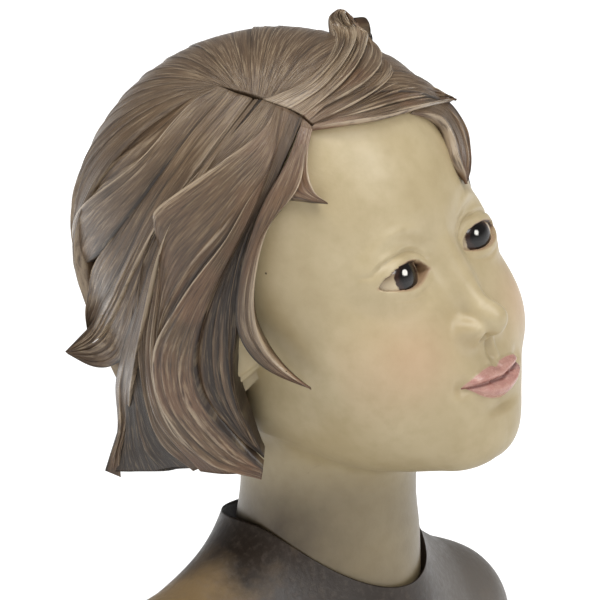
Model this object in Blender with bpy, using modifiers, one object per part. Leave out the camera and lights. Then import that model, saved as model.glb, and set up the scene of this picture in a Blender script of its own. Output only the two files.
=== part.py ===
"""Cast resin bust of a girl with a wind-blown bob, cut flat below the shoulders.

One solid: head, hair, neck and shirt are one cast. Units are metres, +Z up. The bust faces -Y, so her
right side is at -X. Everything but the cast's own grain is a share of HEAD, the height of the head.
"""
from math import cos, pi, radians, sin

import bmesh
import bpy
import numpy as np
from mathutils import Vector

# Driving sizes, in metres
HEAD = 0.075
SURFACE_GRAIN = 0.00062
TRIANGLES = 10000
CUTTER_REACH = 0.25

# The middle of the bust's box on its underside, in shares of HEAD, which is put at the origin
MIDDLE_OF_BOX = Vector((-0.0003, 0.0002, 0.0))

# Pose, in degrees, and the places of the head and the base, as shares of HEAD
TILT_BACK = 10
LEAN_TO_RIGHT = 14
HEAD_PLACE = np.array([0.0, -0.03, 0.80])
NECK_FOOT = np.array([0.0, 0.035, 0.50])
NECK_RADIUS = 0.205
COLLAR_RADIUS = 0.232
COLLAR_BACK = 0.685
COLLAR_DROP = 0.155
COLLAR_LIP = 0.014

# Face, in the head's own frame: chin at zero, crown at one
SKULL_MIDDLE = np.array([0.0, -0.12, 0.42])
EYE = np.array([0.138, -0.392, 0.472])
EYEBALL = 0.082
LID = 0.0105
EYE_HALF = 0.073
LIP_HALF = 0.098
LIP_LINE = 0.186

# Hair: the mean surface of the combed mass, an egg that hangs straight below its middle
HAIR_CENTRE = np.array([0.0, -0.02, 0.60])
HAIR_REACH = np.array([0.42, 0.485, 0.44])
HAIR_HANG = 1.50
HAIR_HEM = 0.14
SHEET_DEPTH = 0.14
TIP_DEPTH = 0.03
HEM_DEPTH = 0.06
MASS_SHARE = 0.92
ROOT_DIP = 0.012
BACK_SHEETS = 12
BACK_TURNS = (-134, -290)
BACK_SWING = 30
BACK_SEED = 4

# How far round from the front the face is open to each side, in degrees, at heights of the head
FACE_OPENING = np.array([(0.90, 0), (0.85, 34), (0.76, 46), (0.66, 58), (0.55, 66), (0.45, 74), (0.40, 86),
                         (0.28, 95), (0.10, 97)])

# The view in which the locks were laid out: an eye in front of her right shoulder, 600 pixels wide
EYE_TURN = -48
EYE_RISE = 8
EYE_DISTANCE = 8.0
EYE_AIM = np.array([-0.02, 0.10, 1.18])
PIXELS_PER_HEAD = 432
PICTURE_MIDDLE = 300
COUNT = 81
SMOOTHING = 12
SHEET_ROWS = 41
SHEET_COLUMNS = 16
LIFT_OFF = 5
FACING_PASSES = 3

# How the carving is read: where rays start, and how they walk in until they meet a surface
RAY_START = 1.2
RAY_STEPS = 60
RAY_STRIDE = 0.8


def turn_x(degrees):
    a = radians(degrees)
    return np.array([[1, 0, 0], [0, cos(a), -sin(a)], [0, sin(a), cos(a)]])


def turn_y(degrees):
    a = radians(degrees)
    return np.array([[cos(a), 0, sin(a)], [0, 1, 0], [-sin(a), 0, cos(a)]])


HEAD_TURN = turn_x(-TILT_BACK) @ turn_y(-LEAN_TO_RIGHT)


def to_world(points):
    """From the head's own frame (chin at zero, crown at one) to the bust's frame."""
    return HEAD_PLACE + points @ HEAD_TURN.T


def to_head(points):
    return (points - HEAD_PLACE) @ HEAD_TURN


# Signed distances and their blends

def blend(a, b, width):
    h = np.clip(0.5 + 0.5 * (b - a) / width, 0, 1)
    return b + (a - b) * h - width * h * (1 - h)


def carve(a, b, width):
    return -blend(-a, b, width)


def ellipsoid(p, centre, reach):
    q = (p - np.array(centre)) / np.array(reach)
    near = np.linalg.norm(q, axis=-1)
    slope = np.linalg.norm(q / np.array(reach), axis=-1)
    return near * (near - 1) / np.maximum(slope, 1e-9)


def stick(p, a, b, radius_a, radius_b):
    a, b = np.array(a, float), np.array(b, float)
    along = np.clip((p - a) @ (b - a) / ((b - a) @ (b - a)), 0, 1)
    away = np.linalg.norm(p - a - along[..., None] * (b - a), axis=-1)
    return away - radius_a - along * (radius_b - radius_a)


def both_sides(p):
    return np.stack([np.abs(p[..., 0]), p[..., 1], p[..., 2]], axis=-1)


def ease(x, start=0.0, end=1.0):
    x = np.clip((x - start) / (end - start), 0, 1)
    return x * x * (3 - 2 * x)


def bell(x, width):
    return np.exp(-(x / width) ** 2)


def skull(p, q):
    d = ellipsoid(p, (0, -0.045, 0.62), (0.355, 0.445, 0.38))
    d = blend(d, ellipsoid(p, (0, -0.225, 0.37), (0.285, 0.265, 0.36)), 0.12)
    d = blend(d, ellipsoid(q, (0.145, -0.325, 0.285), (0.135, 0.145, 0.145)), 0.12)
    d = blend(d, stick(q, (0.235, -0.06, 0.24), (0.05, -0.39, 0.085), 0.06, 0.08), 0.11)
    d = blend(d, ellipsoid(p, (0, -0.425, 0.078), (0.075, 0.072, 0.072)), 0.06)
    return blend(d, ellipsoid(p, (0, -0.415, 0.195), (0.125, 0.095, 0.095)), 0.09)


def nose(p, q):
    d = stick(p, (0, -0.462, 0.475), (0, -0.518, 0.345), 0.030, 0.031)
    d = blend(d, ellipsoid(p, (0, -0.548, 0.322), (0.036, 0.036, 0.034)), 0.030)
    d = blend(d, ellipsoid(q, (0.043, -0.515, 0.311), (0.027, 0.036, 0.026)), 0.014)
    d = blend(d, ellipsoid(p, (0, -0.520, 0.298), (0.018, 0.045, 0.016)), 0.012)
    return carve(d, ellipsoid(q, (0.024, -0.535, 0.286), (0.014, 0.022, 0.014)), 0.008)


def lip_lines(x):
    """Heights of the mouth line and of the lips' upper and lower edges, x from the face's middle."""
    reach = np.clip(1 - (x / LIP_HALF) ** 2, 0, 1)
    line = LIP_LINE + 0.012 * (x / LIP_HALF) ** 2 - 0.0025 * bell(x, 0.016)
    top = line + 0.034 * reach ** 0.7 - 0.007 * bell(x, 0.012) + 0.002
    low = line - 0.040 * np.clip(1 - (x / (0.9 * LIP_HALF)) ** 2, 0, 1) ** 0.75 - 0.001
    return line, top, low, reach


def mouth_relief(p, q):
    x, z = q[..., 0], p[..., 2]
    line, top, low, reach = lip_lines(x)
    t = np.clip((z - line) / (top - line), 0, 1)
    b = np.clip((line - z) / (line - low), 0, 1)
    upper = 0.015 * np.sin(pi * np.clip(t * 0.86 + 0.14, 0, 1)) ** 0.8 * (z >= line) * (t < 1)
    lower = 0.020 * np.sin(pi * np.clip(b * 0.88 + 0.12, 0, 1)) ** 0.8 * (z < line) * (b < 1)
    cleft = 0.013 * bell(z - line, 0.006) * np.clip(1 - (x / (1.1 * LIP_HALF)) ** 4, 0, 1)
    philtrum = 0.006 * bell(x, 0.011) - 0.004 * bell(x - 0.018, 0.008)
    philtrum = philtrum * ease(z, 0.222, 0.236) * ease(-z, -0.290, -0.262)
    corner = 0.010 * bell(x - 0.104, 0.018) * bell(z - 0.200, 0.018)
    under = 0.010 * bell(x, 0.055) * bell(z - 0.128, 0.016)
    return (upper + lower) * reach ** 0.5 - cleft - philtrum - corner - under


def lid_lines(a):
    """Heights of the upper and lower lid edges above the eye's middle, a from the eye's middle outwards."""
    u = np.clip(1 - (a / EYE_HALF) ** 2, 0, 1)
    skew = 0.05 * a
    return 0.033 * u ** 0.75 + skew - 0.10 * a * u, -0.022 * u + skew


def lid_gap(p, q):
    """Below zero between the lids."""
    a, h = q[..., 0] - EYE[0], p[..., 2] - EYE[2]
    top, low = lid_lines(a)
    return np.maximum(np.maximum(h - top, low - h), np.abs(a) - EYE_HALF)


def eyes(d, p, q):
    a, h = q[..., 0] - EYE[0], p[..., 2] - EYE[2]
    away = np.linalg.norm(q - EYE, axis=-1)
    front = ease(-q[..., 1], 0.30, 0.36)
    d = carve(d, ellipsoid(q, (0.128, -0.560, 0.497), (0.105, 0.095, 0.050)), 0.075)
    d = blend(d, away - EYEBALL - LID, 0.028)
    top, low = lid_lines(a)
    crease = bell(h - top - 0.021 - 0.10 * np.abs(a), 0.0055) * np.clip(1.15 - (a / 0.088) ** 2, 0, 1)
    bag = 0.003 * bell(h - low + 0.022, 0.006) * np.clip(1 - (a / 0.07) ** 2, 0, 1)
    d = d + (0.0075 * crease + bag) * front
    open_eye = np.maximum(lid_gap(p, q), EYEBALL - 0.012 - away)
    open_eye = np.where(q[..., 1] < -0.36, open_eye, 1.0)
    return carve(d, open_eye, 0.005)


def ear(q):
    """Outer ear with its rim, the groove inside it, the hollow and the lobe."""
    d = ellipsoid(q, (0.352, -0.040, 0.415), (0.040, 0.080, 0.132))
    ring = np.hypot((q[..., 1] + 0.040) / 0.080, (q[..., 2] - 0.415) / 0.132)
    d = d + 0.010 * bell(ring - 0.70, 0.10) * ease(q[..., 2], 0.33, 0.40)
    return carve(d, ellipsoid(q, (0.398, -0.062, 0.395), (0.034, 0.034, 0.055)), 0.012)


def face(p):
    q = both_sides(p)
    d = eyes(skull(p, q), p, q)
    d = blend(d, nose(p, q), 0.038)
    arch = p[..., 2] - 0.572 + 5.4 * (q[..., 0] - 0.13) ** 2
    brow = 0.006 * bell(arch, 0.016) * bell(q[..., 0] - 0.14, 0.075)
    d = d - (mouth_relief(p, q) + brow) * ease(-q[..., 1], 0.30, 0.40)
    return blend(d, ear(q), 0.02)


def skin(p):
    """Head and neck, in the bust's frame."""
    nape = to_world(np.array([[0.0, -0.03, 0.22]]))[0]
    neck = stick(p, nape, NECK_FOOT, NECK_RADIUS * 0.98, NECK_RADIUS)
    neck = blend(neck, stick(p, NECK_FOOT + [0, 0, 0.12], NECK_FOOT, NECK_RADIUS, NECK_RADIUS * 1.04), 0.05)
    return blend(face(to_head(p)), neck, 0.06)


def torso(p):
    """Shirt over the chest and shoulders, in the bust's frame, running on below the cut."""
    q = both_sides(p)
    d = stick(p, (0, 0.05, 0.74), (0, 0.06, 0.50), 0.20, 0.258)
    d = blend(d, ellipsoid(p, (0, 0.065, 0.12), (0.48, 0.285, 0.52)), 0.08)
    d = blend(d, stick(q, (0.10, 0.09, 0.560), (0.46, 0.10, 0.350), 0.120, 0.165), 0.10)
    return blend(d, stick(q, (0.465, 0.10, 0.350), (0.49, 0.06, -0.40), 0.160, 0.135), 0.05)


# Meshes

def sphere_net(around, down):
    """A UV sphere primitive, with each vertex's turn (0 at -Y) and its share of the way down."""
    bm = bmesh.new()
    bmesh.ops.create_uvsphere(bm, u_segments=around, v_segments=down, radius=1.0)
    bm.verts.ensure_lookup_table()
    p = np.array([v.co for v in bm.verts])
    turn = np.arctan2(p[:, 0], -p[:, 1])
    share = np.arccos(np.clip(p[:, 2], -1, 1)) / pi
    return bm, turn, share


def first_hit(field, origin, direction):
    """Walk from outside along each ray towards its origin until the field is met."""
    reach = np.full(len(origin), RAY_START)
    for _ in range(RAY_STEPS):
        reach = np.clip(reach - RAY_STRIDE * field(origin + direction * reach[:, None]), 0.01, RAY_START)
    return origin + direction * reach[:, None]


def moved(bm, points):
    for vert, point in zip(bm.verts, points):
        vert.co = point
    return bm


def skin_piece(around=130, down=120):
    """Rays from inside the skull, closest together over the face, then from the neck's axis down into
    the shirt."""
    bm, turn, share = sphere_net(around, down)
    turn = turn - 0.55 * np.sin(turn)
    fall = ease(share, 0.86, 1.0)[:, None]
    dip = np.radians(np.interp(share / 0.86, [0, 0.16, 0.93, 1], [88, 32, -48, -62])) * (1 - fall[:, 0])
    local = np.stack([np.sin(turn) * np.cos(dip), -np.cos(turn) * np.cos(dip), np.sin(dip)], axis=1)
    direction = (local @ HEAD_TURN.T) * (1 - fall) + local * fall
    direction = direction / np.linalg.norm(direction, axis=1)[:, None]
    foot = NECK_FOOT - [0, 0, 0.16]
    origin = to_world(SKULL_MIDDLE[None])[0] * (1 - fall) + foot * fall
    points = first_hit(skin, origin, direction)
    points[share > 0.9999] = foot
    return moved(bm, points)


def eye_piece(side):
    """The ball of an eye, which fills the gap between the lids."""
    bm, _, _ = sphere_net(32, 24)
    ball = np.array([v.co for v in bm.verts]) * EYEBALL
    return moved(bm, to_world(EYE * [side, 1, 1] + ball))


def shirt_piece(around=96, down=70):
    """Rays from the chest up to the neckline, then level rays down past the cut."""
    bm, turn, share = sphere_net(around, down)
    chest = np.array([0.0, 0.045, 0.25])
    level = np.stack([np.sin(turn), -np.cos(turn), np.zeros_like(turn)], axis=1)
    rim = level * COLLAR_RADIUS + chest
    rim[:, 2] = COLLAR_BACK - COLLAR_DROP * np.clip(np.cos(turn), 0, 1) ** 1.5
    top = np.arctan2(rim[:, 2] - chest[2], COLLAR_RADIUS)
    fall = np.clip((share - 0.6) / 0.4, 0, 1)[:, None]
    dip = top * (1 - np.clip(share / 0.6, 0, 1))
    origin = chest * np.ones((len(turn), 1)) - fall * [0, 0, 0.45]
    direction = level * np.cos(dip)[:, None]
    direction[:, 2] = np.sin(dip)
    points = first_hit(lambda p: torso(p) - COLLAR_LIP, origin, direction)
    points[share < 0.0001] = [0, 0.045, COLLAR_BACK - 0.12]
    points[share > 0.9999] = [0, 0.045, -0.20]
    return moved(bm, points)


# Hair: flow lines on the egg, and carved sheets between them

def eye_axes():
    a, e = radians(EYE_TURN), radians(EYE_RISE)
    back = np.array([sin(a) * cos(e), -cos(a) * cos(e), sin(e)])
    right = np.array([cos(a), sin(a), 0.0])
    return back, right, np.cross(back, right)


def egg_factor(p):
    """How far a point of the head's frame is out from the hair's mean surface: 1 is on it."""
    q = p - HAIR_CENTRE
    reach = np.where(q[..., 2:] < 0, HAIR_HANG, HAIR_REACH[2])
    return np.sqrt((q[..., 0] / HAIR_REACH[0]) ** 2 + (q[..., 1] / HAIR_REACH[1]) ** 2
                   + (q[..., 2] / reach[..., 0]) ** 2)


def smooth_line(points, count):
    """A Catmull-Rom line through a few points, read at even steps."""
    p = np.array(points, float)
    p = np.vstack([2 * p[0] - p[1], p, 2 * p[-1] - p[-2]])
    place = np.linspace(0, len(p) - 3.000001, count)
    i = place.astype(int)
    t = (place - i)[:, None]
    a, b, c, d = p[i], p[i + 1], p[i + 2], p[i + 3]
    bend, twist = 2 * a - 5 * b + 4 * c - d, 3 * b - a - 3 * c + d
    return 0.5 * (2 * b + (c - a) * t + bend * t ** 2 + twist * t ** 3)


def seen(points):
    """A line drawn in the layout view, laid on the egg. Where it runs out past the egg's edge, it
    comes off the surface smoothly and ends beside it."""
    back, right, up = eye_axes()
    pixels = smooth_line(points, COUNT)
    scale = PIXELS_PER_HEAD * EYE_DISTANCE
    ray = (-back + np.outer(pixels[:, 0] - PICTURE_MIDDLE, right) / scale
           + np.outer(PICTURE_MIDDLE - pixels[:, 1], up) / scale)
    eye = EYE_AIM + back * EYE_DISTANCE
    steps = np.linspace(EYE_DISTANCE - 1.2, EYE_DISTANCE + 0.6, 721)
    places = to_head(eye + ray[:, None, :] * steps[None, :, None])
    factor = egg_factor(places)
    inside = factor < 1
    pick = np.where(inside.any(axis=1), inside.argmax(axis=1), factor.argmin(axis=1))
    met = steps[pick]
    reach = met.copy()
    for _ in range(LIFT_OFF * SMOOTHING):
        reach[1:-1] = (reach[:-2] + 2 * reach[1:-1] + reach[2:]) / 4
    line = to_head(eye + ray * np.minimum(reach, met)[:, None])
    for _ in range(SMOOTHING):
        line[1:-1] = (line[:-2] + 2 * line[1:-1] + line[2:]) / 4
    return line


def on_egg(turn, height):
    """A point of the egg by its turn (0 in front, minus on her right) and height in the head's frame."""
    z = height - HAIR_CENTRE[2]
    ring = np.sqrt(max(1 - (z / (HAIR_HANG if z < 0 else HAIR_REACH[2])) ** 2, 0))
    a = radians(turn)
    return np.array([HAIR_REACH[0] * ring * sin(a), HAIR_CENTRE[1] - HAIR_REACH[1] * ring * cos(a), height])


def combed(root, over, side, end, hem, flare):
    """A line combed from a root over the crown and down to the hem, through a turn at each of three
    heights, flaring out towards its end."""
    rim = on_egg(over, 0.66)
    stops = [root, (root + rim) / 2, rim, on_egg(side, 0.40), on_egg(end, hem)]
    out = 1 + (flare - 1) * np.linspace(0, 1, COUNT) ** 4
    return on_surface(smooth_line(stops, COUNT), out)


def laid(places):
    """A line through a few places on the egg, each a turn and a height."""
    return on_surface(smooth_line([on_egg(*place) for place in places], COUNT), np.ones(COUNT))


def on_surface(line, out):
    return HAIR_CENTRE + (line - HAIR_CENTRE) * (out / egg_factor(line))[:, None]


def strands(share, along, count, rng, steep=0.14):
    """Ridges across a sheet, each with a steep side and a long one. They wander, start at different
    places along the sheet and differ in width and height."""
    phase = rng.uniform(0, 2 * pi, 3)
    bent = share + 0.05 * np.sin(2 * pi * share * 1.3 + phase[0])
    bent = bent + 0.02 * np.sin(2 * pi * share * 3.1 + phase[1])
    place = bent * count + 0.30 * np.sin(2 * pi * along * rng.uniform(0.5, 1.0) + phase[2]) + rng.uniform()
    cell = np.clip(np.floor(place).astype(int) + 1, 0, count + 3)
    strength = rng.uniform(0.3, 1.0, count + 4)[cell]
    begin = rng.uniform(0.0, 0.4, count + 4)[cell]
    part = place - np.floor(place)
    return strength * ease(along, begin, begin + 0.3) * ease(part, 0.0, steep) * (1 - part) ** 1.3


def facing(base, ray, out):
    """Which way a sheet rises: straight out from the egg where it lies on it, and square to itself where
    it stands off it. The length is that of the egg's own reach there."""
    reach = np.linalg.norm(ray, axis=-1)[..., None]
    own = np.cross(np.gradient(base, axis=0), np.gradient(base, axis=1))
    own = own * np.sign((own * ray).sum())
    own = own / np.maximum(np.linalg.norm(own, axis=-1), 1e-9)[..., None]
    free = ease(out, 1.0, 1.05)[..., None]
    mean = ray / reach * (1 - free) + own * free
    mean[-3:] = mean[-4]
    for _ in range(FACING_PASSES):
        mean[:, 1:-1] = (mean[:, :-2] + mean[:, 1:-1] + mean[:, 2:]) / 3
        mean[:, 0], mean[:, -1] = mean[:, 1], mean[:, -2]
        mean[1:-1] = (mean[:-2] + mean[1:-1] + mean[2:]) / 3
    return mean / np.linalg.norm(mean, axis=-1)[..., None] * reach


def sheet(upper, lower, crest, comb, count, seed, lift=0.0, flick=0.0, crest_keeps=None, end=HEM_DEPTH,
          calm=0.0):
    """A carved sheet of hair between two flow lines, from its root to its tip: a sharp crest along the
    upper line, falling to the lower one, with comb marks. It rises out of the parting, lifts off
    towards its tip by flick, and its underside is sunk in the mass below. crest_keeps gives the share
    of the crest's height that is left at places along it, and calm makes the part by the root smooth."""
    rng = np.random.default_rng(seed)
    step = np.linspace(0, COUNT - 1, SHEET_ROWS)
    upper, lower = (np.stack([np.interp(step, np.arange(COUNT), line[:, k]) for k in range(3)], axis=1)
                    for line in (upper, lower))
    share = np.linspace(0, 1, SHEET_COLUMNS)[None, :]
    along = np.linspace(0, 1, SHEET_ROWS)[:, None]
    flat = upper[:, None] * (1 - share[..., None]) + lower[:, None] * share[..., None]
    out = -blend(-egg_factor(flat), -1.0, 0.02) - ROOT_DIP * (1 - ease(along, 0, 0.12))
    swell = ease(along, 0, 0.30) * (0.45 + 0.55 * ease(1 - along, 0, 0.12))
    if crest_keeps:
        swell = swell * np.interp(along, *zip(*crest_keeps))
    swell = swell * (1 - calm * (1 - ease(along, 0.20, 0.60)))
    fade = ease(1 - along, 0, 0.1) * (1 - 0.7 * calm * (1 - ease(along, 0.10, 0.50)))
    edge = 0.3 + 0.7 * ease(share, 0, 0.08) * ease(1 - share, 0, 0.08)
    marks = fade * edge * strands(share, along, count, rng)
    sunk = lift * ease(along, 0, 0.3)
    rise = sunk + crest * swell * (1 - share) ** 1.25 + comb * (marks - 0.4) + flick * along ** 3
    ray = (flat - HAIR_CENTRE) / egg_factor(flat)[..., None]
    base = ray * out[..., None]
    outward = facing(base, ray, out)
    depth = end + (SHEET_DEPTH - end) * ease(1 - along, 0, 0.25)
    top = base + outward * rise[..., None]
    low = base + outward * (sunk + flick * along ** 3 - depth)[..., None]
    return loft(to_world(HAIR_CENTRE + np.concatenate([top, low[:, ::-1]], axis=1)))


def loft(rings):
    """A closed solid through a row of rings with the same number of points."""
    bm = bmesh.new()
    rows = [[bm.verts.new(p) for p in ring] for ring in rings]
    size = len(rows[0])
    for a, b in zip(rows, rows[1:]):
        for i in range(size):
            bm.faces.new((a[i], a[(i + 1) % size], b[(i + 1) % size], b[i]))
    bm.faces.new(rows[0])
    bm.faces.new(rows[-1][::-1])
    return bm


def near_locks():
    """Her right side, from the cheek to the back."""
    cheek = seen([(313, 126), (305, 150), (302, 178), (291, 200), (270, 222), (257, 268), (254, 312),
                  (264, 345), (284, 368), (311, 388)])
    cheek_back = seen([(303, 117), (288, 160), (262, 205), (246, 250), (237, 290), (236, 325), (246, 350),
                       (268, 371), (311, 389)])
    wisp = seen([(313, 128), (308, 150), (308, 174), (315, 193), (328, 203)])
    wisp_back = seen([(301, 125), (290, 165), (287, 195), (304, 200), (328, 204)])
    strand = seen([(301, 115), (276, 180), (246, 232), (230, 290), (226, 345), (230, 395), (246, 440),
                   (262, 466)])
    ear_edge = seen([(303, 117), (280, 170), (252, 225), (241, 280), (236, 330), (231, 372), (236, 412),
                     (250, 440), (263, 467)])
    hollow = seen([(291, 109), (266, 180), (239, 240), (211, 297), (196, 343), (195, 380), (207, 412),
                   (236, 444), (263, 470)])
    ridge = seen([(283, 105), (273, 165), (249, 200), (230, 238), (198, 277), (172, 318), (159, 343),
                  (160, 386), (180, 422), (215, 455), (262, 474)])
    fold = seen([(276, 103), (263, 132), (232, 156), (205, 177), (174, 198), (156, 212), (155, 228),
                 (163, 250), (153, 300), (145, 345), (147, 390), (160, 430), (200, 473)])
    nape = seen([(262, 98), (215, 155), (165, 210), (146, 250), (138, 300), (137, 345), (144, 395),
                 (158, 441), (192, 474)])
    flick_low = seen([(250, 96), (200, 165), (158, 225), (133, 272), (117, 308), (105, 330), (90, 345),
                      (66, 353)])
    flick_top = seen([(238, 92), (190, 150), (150, 205), (126, 255), (110, 285), (96, 308), (88, 328),
                      (65, 352)])
    flick_under = seen([(252, 97), (202, 168), (162, 232), (143, 285), (130, 330), (118, 362), (96, 369),
                        (67, 355)])
    flick_root = seen([(238, 92), (190, 150), (150, 205), (126, 255), (110, 285), (97, 306), (92, 322),
                       (90, 336)])
    crown_back = seen([(213, 82), (185, 88), (150, 105), (120, 130), (98, 160), (87, 190), (83, 212),
                       (82, 235)])
    crown = seen([(217, 84), (190, 106), (156, 150), (129, 175), (100, 196), (84, 212), (79, 230),
                  (82, 260)])
    crown_low = seen([(228, 88), (190, 132), (152, 182), (122, 222), (100, 250), (84, 264)])
    under_crown = seen([(222, 86), (180, 140), (138, 195), (106, 240), (88, 270), (84, 290), (84, 312),
                        (87, 330)])
    tip_edge = seen([(254, 98), (202, 168), (163, 232), (142, 290), (124, 345), (114, 383), (117, 415),
                     (117, 434), (111, 452), (105, 468)])
    tip_ridge = seen([(258, 98), (207, 170), (167, 234), (150, 300), (140, 350), (134, 388), (132, 412),
                      (126, 432), (118, 455), (112, 473)])
    notch = [(0, 1), (0.42, 1.0), (0.50, 0.35), (1, 0.5)]
    return [sheet(strand, ear_edge, 0.010, 0.014, 3, 16, lift=-0.045),
            sheet(cheek, cheek_back, 0.022, 0.010, 2, 1, lift=0.0, end=TIP_DEPTH),
            sheet(wisp, wisp_back, 0.012, 0.006, 2, 15, lift=-0.01, end=TIP_DEPTH),
            sheet(hollow, strand, 0.015, 0.020, 3, 2, lift=-0.05),
            sheet(ridge, hollow, 0.055, 0.022, 3, 3),
            sheet(fold, ridge, 0.050, 0.026, 4, 4, lift=-0.012, crest_keeps=notch),
            sheet(nape, fold, 0.025, 0.020, 3, 5, lift=-0.02),
            sheet(tip_edge, nape, 0.004, 0.022, 3, 17, lift=-0.02),
            sheet(tip_ridge, tip_edge, 0.026, 0.012, 2, 6),
            sheet(flick_low, flick_top, 0.022, 0.014, 3, 7, lift=-0.01, end=TIP_DEPTH),
            sheet(flick_low, flick_under, 0.004, 0.020, 3, 18, lift=-0.03, end=TIP_DEPTH),
            sheet(crown, crown_low, 0.045, 0.014, 2, 8, lift=-0.01),
            sheet(under_crown, flick_root, 0.006, 0.020, 3, 19, lift=-0.025),
            sheet(crown_back, crown, 0.010, 0.030, 4, 28, lift=-0.02)]


def top_locks():
    """The quiff, the fringe and the far temple."""
    quiff_back = seen([(262, 97), (290, 89), (315, 72), (328, 55), (332, 40), (328, 26), (329, 16)])
    quiff_left = seen([(276, 102), (310, 87), (333, 64), (343, 46), (342, 30), (337, 18), (336, 9)])
    quiff_middle = seen([(290, 107), (318, 92), (340, 70), (353, 48), (355, 31), (351, 19), (345, 11)])
    quiff_front = seen([(304, 114), (320, 103), (340, 87), (356, 68), (365, 48), (364, 33), (354, 16)])
    second = seen([(309, 119), (326, 106), (347, 95), (365, 84), (377, 71), (381, 58), (376, 46),
                   (366, 35)])
    third = seen([(313, 122), (345, 109), (372, 94), (387, 82), (392, 71)])
    fringe_top = seen([(314, 122), (348, 107), (374, 91), (393, 79), (410, 77), (426, 83), (441, 91),
                       (457, 99)])
    fringe_mid = seen([(315, 123), (356, 114), (392, 104), (418, 98), (440, 96), (457, 98)])
    fringe = seen([(312, 126), (348, 123), (379, 119), (405, 112), (430, 106), (457, 99)])
    far_edge = seen([(414, 111), (430, 116), (442, 124), (450, 141), (455, 160), (466, 184)])
    far_outer = seen([(430, 98), (448, 100), (459, 112), (468, 129), (471, 146), (470, 165), (467, 184)])
    far_cheek = laid([(38, 0.82), (52, 0.68), (62, 0.52), (62, 0.38), (51, 0.30)])
    far_temple = laid([(52, 0.84), (66, 0.70), (76, 0.52), (75, 0.38), (53, 0.29)])
    return [sheet(fringe, fringe_mid, 0.020, 0.014, 2, 9, end=TIP_DEPTH),
            sheet(fringe_mid, fringe_top, 0.014, 0.024, 5, 24, end=TIP_DEPTH),
            sheet(third, second, 0.026, 0.014, 2, 10),
            sheet(second, quiff_front, 0.036, 0.012, 2, 11, lift=0.01, end=TIP_DEPTH),
            sheet(quiff_front, quiff_middle, 0.045, 0.014, 2, 12, lift=0.01, end=TIP_DEPTH),
            sheet(quiff_middle, quiff_left, 0.030, 0.016, 2, 25, lift=0.01, end=TIP_DEPTH),
            sheet(quiff_left, quiff_back, 0.026, 0.016, 2, 27, end=TIP_DEPTH),
            sheet(far_edge, far_outer, 0.020, 0.012, 3, 13, end=TIP_DEPTH),
            sheet(far_cheek, far_temple, 0.030, 0.010, 3, 14)]


def back_locks():
    """Sheets that fan out of the whorl and the parting to the hem, from behind her right side round to
    her left temple. Neighbours share a line, and each draws in to a tip of its own at the hem."""
    rng = np.random.default_rng(BACK_SEED)
    parting = seen([(218, 84), (259, 98), (300, 112)])
    whorl, part_end = parting[0], parting[-1]
    steps = np.linspace(0, 1, BACK_SHEETS + 1)
    turns = np.linspace(*BACK_TURNS, BACK_SHEETS + 1) + rng.uniform(-4, 4, BACK_SHEETS + 1)
    roots = [whorl + (part_end - whorl) * np.clip((-turn - 180) / 110, 0, 1) for turn in turns]
    sweeps = rng.uniform(-16, -8, BACK_SHEETS + 1) * (0.2 + 1.2 * steps)
    ends = turns - BACK_SWING * (1 - ease(steps, 0, 0.6))
    pieces = []
    for i in range(BACK_SHEETS):
        tip = 0.5 * (ends[i] + ends[i + 1]) + rng.uniform(-6, 2)
        hem, draw = HAIR_HEM + rng.uniform(-0.02, 0.03), rng.uniform(0.25, 0.75)
        flare = rng.uniform(1.01, 1.10)
        sides = 0.5 * (turns + ends) + 0.6 * sweeps
        upper, lower = (combed(roots[k], turns[k] + sweeps[k], sides[k],
                               ends[k] * (1 - draw) + tip * draw, hem, flare) for k in (i, i + 1))
        pieces.append(sheet(upper, lower, rng.uniform(0.02, 0.05), 0.026, 4, 20 + i, lift=0.018, calm=0.8))
    return pieces


def hair_mass(turns=96, down=64):
    """The solid mass under the sheets: the egg drawn in, cut off at the hem and open at the face."""
    bm, turn, share = sphere_net(turns, down)
    height = np.where(share < 0.5, HAIR_CENTRE[2] + HAIR_REACH[2] * np.cos(share * pi),
                      HAIR_HEM + (HAIR_CENTRE[2] - HAIR_HEM) * np.clip((0.86 - share) / 0.36, 0, 1))
    z = height - HAIR_CENTRE[2]
    ring = np.sqrt(np.clip(1 - (z / np.where(z < 0, HAIR_HANG, HAIR_REACH[2])) ** 2, 0, 1))
    ring = ring * np.clip((1 - share) / 0.14, 0, 1)
    across, ahead = HAIR_REACH[0] * ring * np.sin(turn), HAIR_REACH[1] * ring * np.cos(turn)
    points = np.stack([across, -ahead, z], axis=1)
    open_to = np.interp(height, FACE_OPENING[::-1, 0], FACE_OPENING[::-1, 1])
    inside = np.clip((open_to - np.degrees(np.abs(turn))) / 6, 0, 1)
    points = points * (MASS_SHARE - 0.20 * inside[:, None])
    return moved(bm, to_world(points + HAIR_CENTRE))


def material(name, colour, roughness):
    mat = bpy.data.materials.new(name)
    mat.use_nodes = True
    shader = mat.node_tree.nodes["Principled BSDF"]
    shader.inputs["Base Color"].default_value = (*colour, 1)
    shader.inputs["Roughness"].default_value = roughness
    shader.inputs["Metallic"].default_value = 0.0
    return mat


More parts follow.
